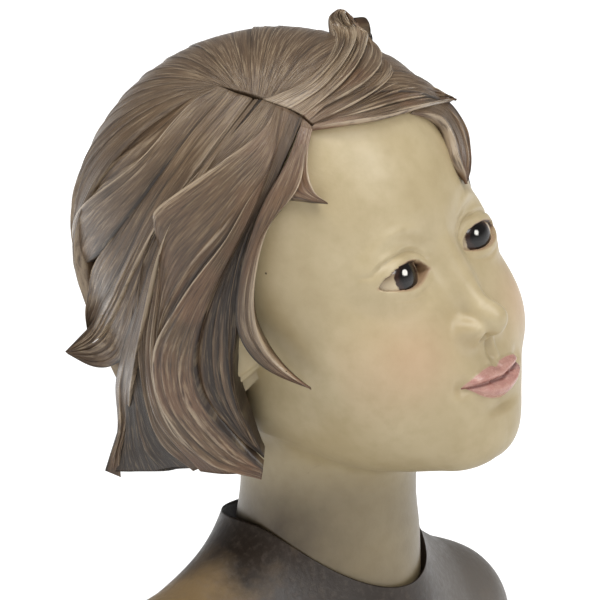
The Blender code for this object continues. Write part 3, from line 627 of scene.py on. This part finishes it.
def near_locks():
    """Her right side, from the cheek to the back."""
    cheek = seen([(313, 126), (305, 150), (302, 178), (291, 200), (270, 222), (257, 268), (254, 312),
                  (264, 345), (284, 368), (311, 388)])
    cheek_back = seen([(303, 117), (288, 160), (262, 205), (246, 250), (237, 290), (236, 325), (246, 350),
                       (268, 371), (311, 389)])
    wisp = seen([(313, 128), (308, 150), (308, 174), (315, 193), (328, 203)])
    wisp_back = seen([(301, 125), (290, 165), (287, 195), (304, 200), (328, 204)])
    strand = seen([(301, 115), (276, 180), (246, 232), (230, 290), (226, 345), (230, 395), (246, 440),
                   (262, 466)])
    ear_edge = seen([(303, 117), (280, 170), (252, 225), (241, 280), (236, 330), (231, 372), (236, 412),
                     (250, 440), (263, 467)])
    hollow = seen([(291, 109), (266, 180), (239, 240), (211, 297), (196, 343), (195, 380), (207, 412),
                   (236, 444), (263, 470)])
    ridge = seen([(283, 105), (273, 165), (249, 200), (230, 238), (198, 277), (172, 318), (159, 343),
                  (160, 386), (180, 422), (215, 455), (262, 474)])
    fold = seen([(276, 103), (263, 132), (232, 156), (205, 177), (174, 198), (156, 212), (155, 228),
                 (163, 250), (153, 300), (145, 345), (147, 390), (160, 430), (200, 473)])
    nape = seen([(262, 98), (215, 155), (165, 210), (146, 250), (138, 300), (137, 345), (144, 395),
                 (158, 441), (192, 474)])
    flick_low = seen([(250, 96), (200, 165), (158, 225), (133, 272), (117, 308), (105, 330), (90, 345),
                      (66, 353)])
    flick_top = seen([(238, 92), (190, 150), (150, 205), (126, 255), (110, 285), (96, 308), (88, 328),
                      (65, 352)])
    flick_under = seen([(252, 97), (202, 168), (162, 232), (143, 285), (130, 330), (118, 362), (96, 369),
                        (67, 355)])
    flick_root = seen([(238, 92), (190, 150), (150, 205), (126, 255), (110, 285), (97, 306), (92, 322),
                       (90, 336)])
    crown_back = seen([(213, 82), (185, 88), (150, 105), (120, 130), (98, 160), (87, 190), (83, 212),
                       (82, 235)])
    crown = seen([(217, 84), (190, 106), (156, 150), (129, 175), (100, 196), (84, 212), (79, 230),
                  (82, 260)])
    crown_low = seen([(228, 88), (190, 132), (152, 182), (122, 222), (100, 250), (84, 264)])
    under_crown = seen([(222, 86), (180, 140), (138, 195), (106, 240), (88, 270), (84, 290), (84, 312),
                        (87, 330)])
    tip_edge = seen([(254, 98), (202, 168), (163, 232), (142, 290), (124, 345), (114, 383), (117, 415),
                     (117, 434), (112, 450), (105, 471)])
    tip_ridge = seen([(258, 98), (207, 170), (167, 234), (150, 300), (140, 350), (134, 388), (132, 412),
                      (126, 432), (120, 454), (121, 477)])
    notch = [(0, 1), (0.42, 1.0), (0.50, 0.35), (1, 0.5)]
    # dark puts painted shade on the sheets that lie sunk under their neighbours
    return [sheet(strand, ear_edge, 0.010, 0.014, 3, 16, lift=-0.045, dark=0.3),
            sheet(cheek, cheek_back, 0.022, 0.010, 2, 1, lift=0.0, warm=0.35, end=TIP_DEPTH),
            sheet(wisp, wisp_back, 0.012, 0.006, 2, 15, lift=-0.01, warm=0.5, end=TIP_DEPTH),
            sheet(hollow, strand, 0.015, 0.020, 3, 2, lift=-0.05, warm=0.1, dark=0.3),
            sheet(ridge, hollow, 0.055, 0.022, 3, 3, warm=0.45),
            sheet(fold, ridge, 0.050, 0.026, 4, 4, lift=-0.012, warm=0.25, crest_keeps=notch),
            sheet(nape, fold, 0.025, 0.020, 3, 5, lift=-0.02),
            sheet(tip_edge, nape, 0.004, 0.026, 3, 17, lift=-0.02, dark=0.60),
            sheet(tip_ridge, tip_edge, 0.026, 0.012, 2, 6),
            sheet(flick_low, flick_top, 0.022, 0.014, 3, 7, lift=-0.01, end=TIP_DEPTH),
            sheet(flick_low, flick_under, 0.004, 0.018, 3, 18, lift=-0.012, end=TIP_DEPTH),
            sheet(crown, crown_low, 0.045, 0.014, 2, 8, lift=-0.01),
            sheet(under_crown, flick_root, 0.006, 0.020, 3, 19, lift=-0.025),
            sheet(crown_back, crown, 0.010, 0.030, 4, 28, lift=-0.02)]


def top_locks():
    """The quiff, the fringe and the far temple."""
    quiff_back = seen([(262, 97), (290, 89), (315, 72), (328, 55), (332, 40), (328, 26), (329, 16),
                       (337, 9)])
    quiff_left = seen([(276, 102), (310, 87), (333, 64), (343, 46), (342, 32), (338, 20), (338, 13),
                       (341, 9)])
    quiff_middle = seen([(290, 107), (318, 92), (340, 70), (353, 48), (354, 33), (350, 21), (346, 14),
                         (345, 10)])
    quiff_front = seen([(304, 114), (320, 103), (340, 87), (356, 68), (364, 48), (362, 35), (354, 18)])
    second = seen([(309, 119), (326, 106), (347, 95), (365, 84), (377, 71), (379, 60), (375, 51),
                   (368, 42)])
    third = seen([(313, 122), (345, 109), (372, 94), (387, 82), (392, 71)])
    fringe_top = seen([(314, 122), (348, 107), (374, 91), (393, 79), (410, 77), (426, 83), (441, 91),
                       (457, 99)])
    fringe_mid = seen([(315, 123), (356, 114), (392, 104), (418, 98), (440, 96), (457, 98)])
    fringe = seen([(312, 126), (348, 123), (379, 119), (405, 112), (430, 106), (457, 99)])
    far_edge = seen([(414, 111), (430, 116), (442, 124), (450, 141), (455, 160), (466, 184)])
    far_outer = seen([(430, 98), (448, 100), (459, 112), (468, 129), (471, 146), (470, 165), (467, 184)])
    far_cheek = laid([(38, 0.82), (52, 0.68), (62, 0.52), (62, 0.38), (51, 0.30)])
    far_temple = laid([(52, 0.84), (66, 0.70), (76, 0.52), (75, 0.38), (53, 0.29)])
    # Below nought, dark gives the fringe and the quiff painted light
    return [sheet(fringe, fringe_mid, 0.020, 0.014, 2, 9, warm=0.6, end=TIP_DEPTH, dark=-0.1),
            sheet(fringe_mid, fringe_top, 0.014, 0.024, 5, 24, warm=0.3, end=TIP_DEPTH),
            sheet(third, second, 0.026, 0.014, 2, 10, warm=0.2),
            sheet(second, quiff_front, 0.020, 0.012, 2, 11, lift=0.01, warm=0.5, end=TIP_DEPTH, dark=-0.1),
            sheet(quiff_front, quiff_middle, 0.030, 0.014, 2, 12, lift=0.01, warm=0.3, end=TIP_DEPTH,
                  dark=-0.20),
            sheet(quiff_middle, quiff_left, 0.030, 0.016, 2, 25, lift=0.01, end=TIP_DEPTH, dark=-0.25),
            sheet(quiff_left, quiff_back, 0.026, 0.016, 2, 27, end=TIP_DEPTH, dark=-0.2),
            sheet(far_edge, far_outer, 0.020, 0.012, 3, 13, warm=0.5, end=TIP_DEPTH),
            sheet(far_cheek, far_temple, 0.030, 0.010, 3, 14, warm=0.3)]


def back_locks():
    """Sheets that fan out of the whorl and the parting to the hem, from behind her right side round to
    her left temple. Neighbours share a line, and each draws in to a tip of its own at the hem."""
    rng = np.random.default_rng(BACK_SEED)
    parting = seen([(218, 84), (259, 98), (300, 112)])
    whorl, part_end = parting[0], parting[-1]
    steps = np.linspace(0, 1, BACK_SHEETS + 1)
    turns = np.linspace(*BACK_TURNS, BACK_SHEETS + 1) + rng.uniform(-4, 4, BACK_SHEETS + 1)
    roots = [whorl + (part_end - whorl) * np.clip((-turn - 180) / 110, 0, 1) for turn in turns]
    sweeps = rng.uniform(-16, -8, BACK_SHEETS + 1) * (0.2 + 1.2 * steps)
    ends = turns - BACK_SWING * (1 - ease(steps, 0, 0.6))
    sides = 0.5 * (turns + ends) + 0.6 * sweeps
    pieces = []
    for i in range(BACK_SHEETS):
        tip = 0.5 * (ends[i] + ends[i + 1]) + rng.uniform(-6, 2)
        hem, draw = HAIR_HEM + rng.uniform(-0.02, 0.03), rng.uniform(0.25, 0.75)
        flare = rng.uniform(1.01, 1.10)
        upper, lower = (combed(roots[k], turns[k] + sweeps[k], sides[k],
                               ends[k] * (1 - draw) + tip * draw, hem, flare) for k in (i, i + 1))
        crest = rng.uniform(0.02, 0.05)
        pieces.append(sheet(upper, lower, crest, 0.026, 4, 20 + i, lift=0.018, calm=0.8))
    return pieces


def hair_mass():
    """The solid mass under the sheets: the egg drawn in, cut off at the hem and open at the face."""
    rows, columns = 120 // FINE, 200 // FINE
    share = np.linspace(0.01, 0.99, rows)[:, None]
    turn = np.linspace(-pi, pi, columns, endpoint=False)[None, :]
    height = np.where(share < 0.5, HAIR_CENTRE[2] + HAIR_REACH[2] * np.cos(share * pi),
                      HAIR_HEM + (HAIR_CENTRE[2] - HAIR_HEM) * np.clip((0.86 - share) / 0.36, 0, 1))
    z = height - HAIR_CENTRE[2]
    ring = np.sqrt(np.clip(1 - (z / np.where(z < 0, HAIR_HANG, HAIR_REACH[2])) ** 2, 0, 1))
    ring = ring * np.clip((1 - share) / 0.14, 0, 1)
    across, ahead = HAIR_REACH[0] * ring * np.sin(turn), HAIR_REACH[1] * ring * np.cos(turn)
    points = np.stack([across, -ahead, z + 0 * turn], axis=-1)
    open_to = np.interp(height, FACE_OPENING[::-1, 0], FACE_OPENING[::-1, 1])
    inside = np.clip((open_to - np.degrees(np.abs(turn))) / 6, 0, 1)
    points = points * (MASS_SHARE - MASS_DRAWN_IN * inside[..., None])
    rings = to_world(points + HAIR_CENTRE)
    ends = to_world(np.array([[0, HAIR_CENTRE[1], HAIR_CENTRE[2] + MASS_SHARE * HAIR_REACH[2]],
                              [0, HAIR_CENTRE[1], HAIR_HEM + 0.02]]))
    # The mass takes the grooves' darkest paint all over: dark paint and painted shade between the sheets
    fields = {"strand": np.stack([turn * 30 + 0 * share, height * 75 + 0 * turn], axis=-1),
              "crest": 0 * turn + 0 * share, "warm": 0 * turn + 0 * share}
    return rings_mesh(rings, ends[0], ends[1], fields)


# Materials

# Paint on polyresin bends light as acrylic does; a pinhole is this share of a cell's width
RESIN_IOR = 1.5
HOLE_SHARE = 0.085

# Width and length of the dry brush's streaks and of the broader bands in the hair's paint
STREAK_MM = (0.32, 6.0)
BAND_MM = (1.8, 18.0)

# The kinds of node, and the numbers of a mix's factor, first and second colour, and of its result
MIX, MATH, NOISE = "ShaderNodeMix", "ShaderNodeMath", "ShaderNodeTexNoise"
RANGE, FIELD, PLACE = "ShaderNodeMapRange", "ShaderNodeAttribute", "ShaderNodeTexCoord"
SHARE, OVER, PAINT, MIXED = 0, 6, 7, 2


def spots(size_mm):
    """The scale that gives spots of a size in millimetres, over places in metres."""
    return 1000 / size_mm


def hex_colour(code):
    """An sRGB hex colour as linear red, green, blue and full alpha."""
    parts = [int(code[i:i + 2], 16) / 255 for i in (1, 3, 5)]
    return [c / 12.92 if c <= 0.04045 else ((c + 0.055) / 1.055) ** 2.4 for c in parts] + [1.0]


def add(tree, kind, result, sockets, **settings):
    """A node with its settings, each socket either linked or set, and the output asked for."""
    made = tree.nodes.new(kind)
    for key, value in settings.items():
        setattr(made, key, value)
    for key, value in (sockets.items() if isinstance(sockets, dict) else enumerate(sockets)):
        if isinstance(value, bpy.types.NodeSocket):
            tree.links.new(value, made.inputs[key])
        else:
            made.inputs[key].default_value = value
    return made.outputs[result]


def painted(tree, colour, coats):
    """Coats of paint over a colour, each with its share, from nought to one, and its own colour."""
    for share, code in coats:
        coat = code if isinstance(code, bpy.types.NodeSocket) else hex_colour(code)
        colour = add(tree, MIX, MIXED, {SHARE: share, OVER: colour, PAINT: coat}, data_type="RGBA")
    return colour


def pinholes(tree, place, spacing_mm, share):
    """Small bubbles left by casting: 1 inside a hole. Only a share of the cells has one."""
    scale = {"Vector": place, "Scale": spots(spacing_mm)}
    distance = add(tree, "ShaderNodeTexVoronoi", "Distance", scale)
    pick = add(tree, "ShaderNodeSeparateColor", "Red", [distance.node.outputs["Color"]])
    size = add(tree, RANGE, 0, [pick, 1 - share, 1.0, 0.0, HOLE_SHARE])
    return add(tree, MATH, 0, [distance, size], operation="LESS_THAN")


def paint(name):
    mat = bpy.data.materials.new(name)
    mat.use_nodes = True
    tree = mat.node_tree
    return mat, tree, tree.nodes["Principled BSDF"]


def finish(tree, shader, colour, roughness, height, depth_mm):
    """Set the shader's colour, roughness and the relief of brush marks and holes."""
    tree.links.new(colour, shader.inputs["Base Color"])
    tree.links.new(roughness, shader.inputs["Roughness"])
    relief = {"Height": height, "Distance": depth_mm / 1000, "Strength": 1.0}
    normal = add(tree, "ShaderNodeBump", "Normal", relief)
    tree.links.new(normal, shader.inputs["Normal"])
    shader.inputs["IOR"].default_value = RESIN_IOR
    shader.inputs["Metallic"].default_value = 0.0


def skin_paint():
    """Khaki acrylic brushed over cast polyresin: satin, a little uneven, with pinholes and soft blushes."""
    mat, tree, shader = paint("khaki_acrylic_skin")
    place = add(tree, PLACE, "Object", {})
    blots = add(tree, NOISE, 0, {"Vector": place, "Scale": spots(14), "Detail": 3.0})
    blots = add(tree, RANGE, 0, [blots, 0.35, 0.65, 0.0, 1.0])
    mottle = add(tree, NOISE, 0, {"Vector": place, "Scale": spots(2.5), "Detail": 4.0})
    mottle = add(tree, RANGE, 0, [mottle, 0.40, 0.75, 0.0, 0.40])
    patches = add(tree, NOISE, 0, {"Vector": place, "Scale": spots(7), "Detail": 4.0})
    patches = add(tree, RANGE, 0, [patches, 0.2, 0.8, 0.75, 1.0])
    # Painted shade in brown, in blotches, under the jaw, down the neck and behind the ears
    wash = add(tree, FIELD, "Fac", {}, attribute_name="wash")
    wash = add(tree, MATH, 0, [wash, patches], operation="MULTIPLY")
    cheek = add(tree, FIELD, "Fac", {}, attribute_name="cheek")
    blush = add(tree, MATH, 0, [cheek, 0.35], operation="MULTIPLY")
    lips = add(tree, FIELD, "Fac", {}, attribute_name="lips")
    lips = add(tree, RANGE, 0, [lips, -0.08, 0.12, 0.0, 1.0])
    uneven = add(tree, NOISE, 0, {"Vector": place, "Scale": spots(1.2), "Detail": 3.0})
    uneven = add(tree, RANGE, 0, [uneven, 0.4, 0.7, 0.0, 1.0])
    lip_colour = painted(tree, hex_colour("#b5857a"), [(uneven, "#c49a8c")])
    line = add(tree, FIELD, "Fac", {}, attribute_name="mouth_line")
    line = add(tree, MATH, 0, [line], operation="ABSOLUTE")
    line = add(tree, RANGE, 0, [line, 0.10, 0.45, 1.0, 0.0])
    line = add(tree, MATH, 0, [line, lips], operation="MULTIPLY")
    lid = add(tree, FIELD, "Fac", {}, attribute_name="lid")
    rim = add(tree, RANGE, 0, [lid, 0.10, 0.55, 0.65, 0.0])
    edge = add(tree, RANGE, 0, [lid, 0.0, 0.30, 1.0, 0.0])
    upper = add(tree, FIELD, "Fac", {}, attribute_name="upper_lid")
    lash = add(tree, MATH, 0, [edge, upper], operation="MULTIPLY")
    # Pinholes coloured dark: painted shade inside them
    holes = pinholes(tree, place, 3.7, 0.22)
    colour = painted(tree, hex_colour("#b2a17d"), [
        (blots, "#bdad8a"), (mottle, "#a3916c"), (wash, "#382a1a"), (blush, "#cfa283"), (lips, lip_colour),
        (line, "#7c4c42"), (rim, "#a07a60"), (lash, "#3c2a20"), (holes, "#5f5138")])
    strokes = add(tree, NOISE, 0, {"Vector": place, "Scale": spots(0.9), "Detail": 5.0, "Roughness": 0.6})
    gloss = add(tree, MATH, 0, [strokes, lips], operation="ADD")
    roughness = add(tree, RANGE, 0, [gloss, 0.3, 1.6, 0.42, 0.26])
    relief = add(tree, MATH, 0, [strokes, 0.35], operation="MULTIPLY")
    relief = add(tree, MATH, 0, [relief, holes], operation="SUBTRACT")
    finish(tree, shader, colour, roughness, relief, 0.10)
    return mat


def eye_paint():
    """Gloss enamel dotted on the cast: a near-black iris with a brown edge, a white dot, a cream ball."""
    mat, tree, shader = paint("gloss_enamel_eye")
    place = add(tree, PLACE, "Object", {})
    wobble = add(tree, NOISE, 0, {"Vector": place, "Scale": spots(1.0), "Detail": 3.0})
    wobble = add(tree, RANGE, 0, [wobble, 0.3, 0.7, -0.25, 0.25])
    reach = add(tree, FIELD, "Fac", {}, attribute_name="iris")
    reach = add(tree, MATH, 0, [reach, wobble], operation="ADD")
    height = add(tree, FIELD, "Fac", {}, attribute_name="upper")
    shade = add(tree, RANGE, 0, [height, -1.0, 2.6, 0.0, 1.0])
    iris_edge, pupil_edge = IRIS / HUNDREDTH, PUPIL / HUNDREDTH
    iris = add(tree, RANGE, 0, [reach, iris_edge - 0.2, iris_edge + 0.2, 1.0, 0.0])
    pupil = add(tree, RANGE, 0, [reach, pupil_edge - 0.5, pupil_edge + 0.5, 1.0, 0.0])
    dot = add(tree, FIELD, "Fac", {}, attribute_name="dot")
    dot = add(tree, MATH, 0, [dot, wobble], operation="ADD")
    dot = add(tree, RANGE, 0, [dot, 0.50, 0.80, 1.0, 0.0])
    colour = painted(tree, hex_colour("#cdbd9e"), [
        (shade, "#8f7a60"), (iris, "#33211a"), (pupil, "#0d0908"), (dot, "#f4f1ea")])
    roughness = add(tree, RANGE, 0, [wobble, -1.0, 1.0, 0.10, 0.18])
    finish(tree, shader, colour, roughness, wobble, 0.01)
    return mat


def hair_paint():
    """Taupe acrylic on cast polyresin: dark paint left in the grooves along with painted shade, ridges
    brushed light with a dry brush along with painted light. Grooves look dull and near black, crests pale
    and glossy."""
    mat, tree, shader = paint("taupe_acrylic_hair_painted_light_and_shade")
    place = add(tree, PLACE, "Object", {})
    strand = place.node.outputs["UV"]
    thin = {"Vector": strand, "Scale": (1 / STREAK_MM[0], 1 / STREAK_MM[1], 1.0)}
    thin = add(tree, "ShaderNodeMapping", 0, thin)
    streaks = add(tree, NOISE, 0, {"Vector": thin, "Scale": 1.0, "Detail": 5.0, "Roughness": 0.6})
    wide = {"Vector": strand, "Scale": (1 / BAND_MM[0], 1 / BAND_MM[1], 1.0)}
    wide = add(tree, "ShaderNodeMapping", 0, wide)
    broad = add(tree, NOISE, 0, {"Vector": wide, "Scale": 1.0, "Detail": 2.0})
    broad = add(tree, RANGE, 0, [broad, 0.3, 0.7, 0.0, 1.0])
    patches = add(tree, NOISE, 0, {"Vector": place, "Scale": spots(9), "Detail": 3.0})
    patches = add(tree, RANGE, 0, [patches, 0.4, 0.6, 0.0, 1.0])
    warm = add(tree, FIELD, "Fac", {}, attribute_name="warm")
    warm = add(tree, MATH, 0, [warm, patches], operation="MULTIPLY")
    crest = add(tree, FIELD, "Fac", {}, attribute_name="crest")
    # Grooves get dark paint and painted shade, crests the dry brush's pale paint and painted light, as the
    # crest field sets them
    low = add(tree, MATH, 0, [streaks, 0.35, crest], operation="MULTIPLY_ADD")
    groove_paint_and_painted_shade = add(tree, RANGE, 0, [low, 0.10, 0.48, 0.90, 0.0])
    high = add(tree, MATH, 0, [streaks, 1.4, crest], operation="MULTIPLY_ADD")
    dry_brush_and_painted_light = add(tree, RANGE, 0, [high, 1.12, 1.60, 0.0, 0.85])
    fine = add(tree, RANGE, 0, [streaks, 0.52, 0.70, 0.0, 0.45])
    specks = add(tree, RANGE, 0, [streaks, 0.30, 0.47, 0.75, 0.0])
    # Pinholes coloured near black: painted shade inside them
    holes = pinholes(tree, place, 3.0, 0.16)
    colour = painted(tree, hex_colour("#574534"), [
        (broad, "#6d5842"), (warm, "#7f5c45"), (groove_paint_and_painted_shade, "#241c16"), (dry_brush_and_painted_light, "#b7a48b"), (fine, "#978467"),
        (specks, "#33281f"), (holes, "#17120f")])
    roughness = add(tree, RANGE, 0, [high, 0.6, 1.6, 0.42, 0.20])
    relief = add(tree, MATH, 0, [streaks, holes], operation="SUBTRACT")
    finish(tree, shader, colour, roughness, relief, 0.18)
    return mat


def shirt_paint():
    """Dark umber acrylic on cast polyresin, satin: golden-brown paint is rubbed over her right shoulder,
    with painted light on it, and her left one has a grey painted sheen."""
    mat, tree, shader = paint("umber_acrylic_shirt")
    place = add(tree, PLACE, "Object", {})
    blots = add(tree, NOISE, 0, {"Vector": place, "Scale": spots(9), "Detail": 4.0, "Roughness": 0.6})
    patches = add(tree, RANGE, 0, [blots, 0.38, 0.62, 0.35, 1.0])
    # Golden-brown paint with painted light over her right shoulder, broken up by blots
    glaze = add(tree, FIELD, "Fac", {}, attribute_name="glaze")
    glaze = add(tree, MATH, 0, [blots, 1.4, glaze], operation="MULTIPLY_ADD")
    glaze = add(tree, RANGE, 0, [glaze, 0.85, 1.55, 0.0, 0.90])
    # Grey painted sheen over her left shoulder
    sheen = add(tree, FIELD, "Fac", {}, attribute_name="sheen")
    sheen = add(tree, MATH, 0, [sheen, 0.75], operation="MULTIPLY")
    strokes = add(tree, NOISE, 0, {"Vector": place, "Scale": spots(1.1), "Detail": 5.0, "Roughness": 0.6})
    rubbed = add(tree, RANGE, 0, [strokes, 0.5, 0.8, 0.0, 0.35])
    # Pinholes coloured dark: painted shade inside them
    holes = pinholes(tree, place, 3.6, 0.14)
    colour = painted(tree, hex_colour("#2c241d"), [
        (patches, "#382e26"), (glaze, "#806947"), (sheen, "#6b655e"), (rubbed, "#71655a"),
        (holes, "#1a1512")])
    roughness = add(tree, RANGE, 0, [strokes, 0.3, 0.7, 0.36, 0.52])
    relief = add(tree, MATH, 0, [strokes, holes], operation="SUBTRACT")
    finish(tree, shader, colour, roughness, relief, 0.08)
    return mat


# The bust

skin_piece(skin_paint())
enamel = eye_paint()
eye_piece(1, enamel)
eye_piece(-1, enamel)
shirt_piece(shirt_paint())
tint = hair_paint()
piece("hair_mass", [hair_mass()], tint)
piece("hair_near_side", near_locks(), tint)
piece("hair_top", top_locks(), tint)
piece("hair_back", back_locks(), tint)

# Studio: floor, camera at the photograph's angle, soft lights

FLOOR = 30.0
floor_mesh = bpy.data.meshes.new("floor")
floor_mesh.from_pydata([(x * FLOOR, y * FLOOR, 0) for x, y in ((-1, -1), (1, -1), (1, 1), (-1, 1))], [],
                       [(0, 1, 2, 3)])
floor_mat, floor_tree, floor_shader = paint("glowing_white_floor")
floor_shader.inputs["Base Color"].default_value = hex_colour("#dedede")
floor_shader.inputs["Roughness"].default_value = 0.9
floor_shader.inputs["Emission Color"].default_value = hex_colour("#ffffff")
floor_place = add(floor_tree, PLACE, "Object", {})
floor_reach = add(floor_tree, "ShaderNodeVectorMath", "Value", [floor_place], operation="LENGTH")
# The floor glows, not near the bust and more further out, so it shows white far off without lighting her
# from below
floor_glow = add(floor_tree, RANGE, 0, [floor_reach, 1.0 * HEAD, 2.8 * HEAD, 0.0, 0.50])
floor_tree.links.new(floor_glow, floor_shader.inputs["Emission Strength"])
floor_mesh.materials.append(floor_mat)
floor = bpy.data.objects.new("floor", floor_mesh)
bpy.context.scene.collection.objects.link(floor)

back, right, up = eye_axes()
SENSOR = 36.0
lens = bpy.data.cameras.new("photo_camera")
lens.sensor_width = SENSOR
lens.lens = SENSOR * EYE_DISTANCE * PIXELS_PER_HEAD / (2 * PICTURE_MIDDLE)
lens.clip_start = 0.01
camera = bpy.data.objects.new("photo_camera", lens)
stand = Matrix((Vector(right), Vector(up), Vector(back))).transposed().to_4x4()
stand.translation = Vector(metres(EYE_AIM + back * EYE_DISTANCE))
camera.matrix_world = stand
bpy.context.scene.collection.objects.link(camera)
bpy.context.scene.camera = camera


def sun(name, turn, rise, spread, strength):
    """A wide soft light from far off, by its turn and rise round the bust and its spread in degrees."""
    light = bpy.data.lights.new(name, "SUN")
    light.angle = radians(spread)
    light.energy = strength
    lamp = bpy.data.objects.new(name, light)
    a, e = radians(turn), radians(rise)
    away = Vector((sin(a) * cos(e), -cos(a) * cos(e), sin(e)))
    lamp.rotation_euler = away.to_track_quat("Z", "Y").to_euler()
    bpy.context.scene.collection.objects.link(lamp)


sun("key", -8, 38, 22, 0.95)
sun("rim", -120, 64, 12, 0.9)
sun("overhead", -30, 74, 40, 1.4)

world = bpy.data.worlds.new("studio_white")
bpy.context.scene.world = world
world.use_nodes = True
sky = world.node_tree
away = add(sky, "ShaderNodeSeparateXYZ", "Z", [add(sky, PLACE, "Generated", {})])
sky_light = add(sky, RANGE, 0, [away, 0.06, 0.24, 1.0, 0.20])
sky.links.new(sky_light, sky.nodes["Background"].inputs["Strength"])
sky.nodes["Background"].inputs["Color"].default_value = hex_colour("#ffffff")
bpy.context.scene.view_settings.view_transform = "Standard"
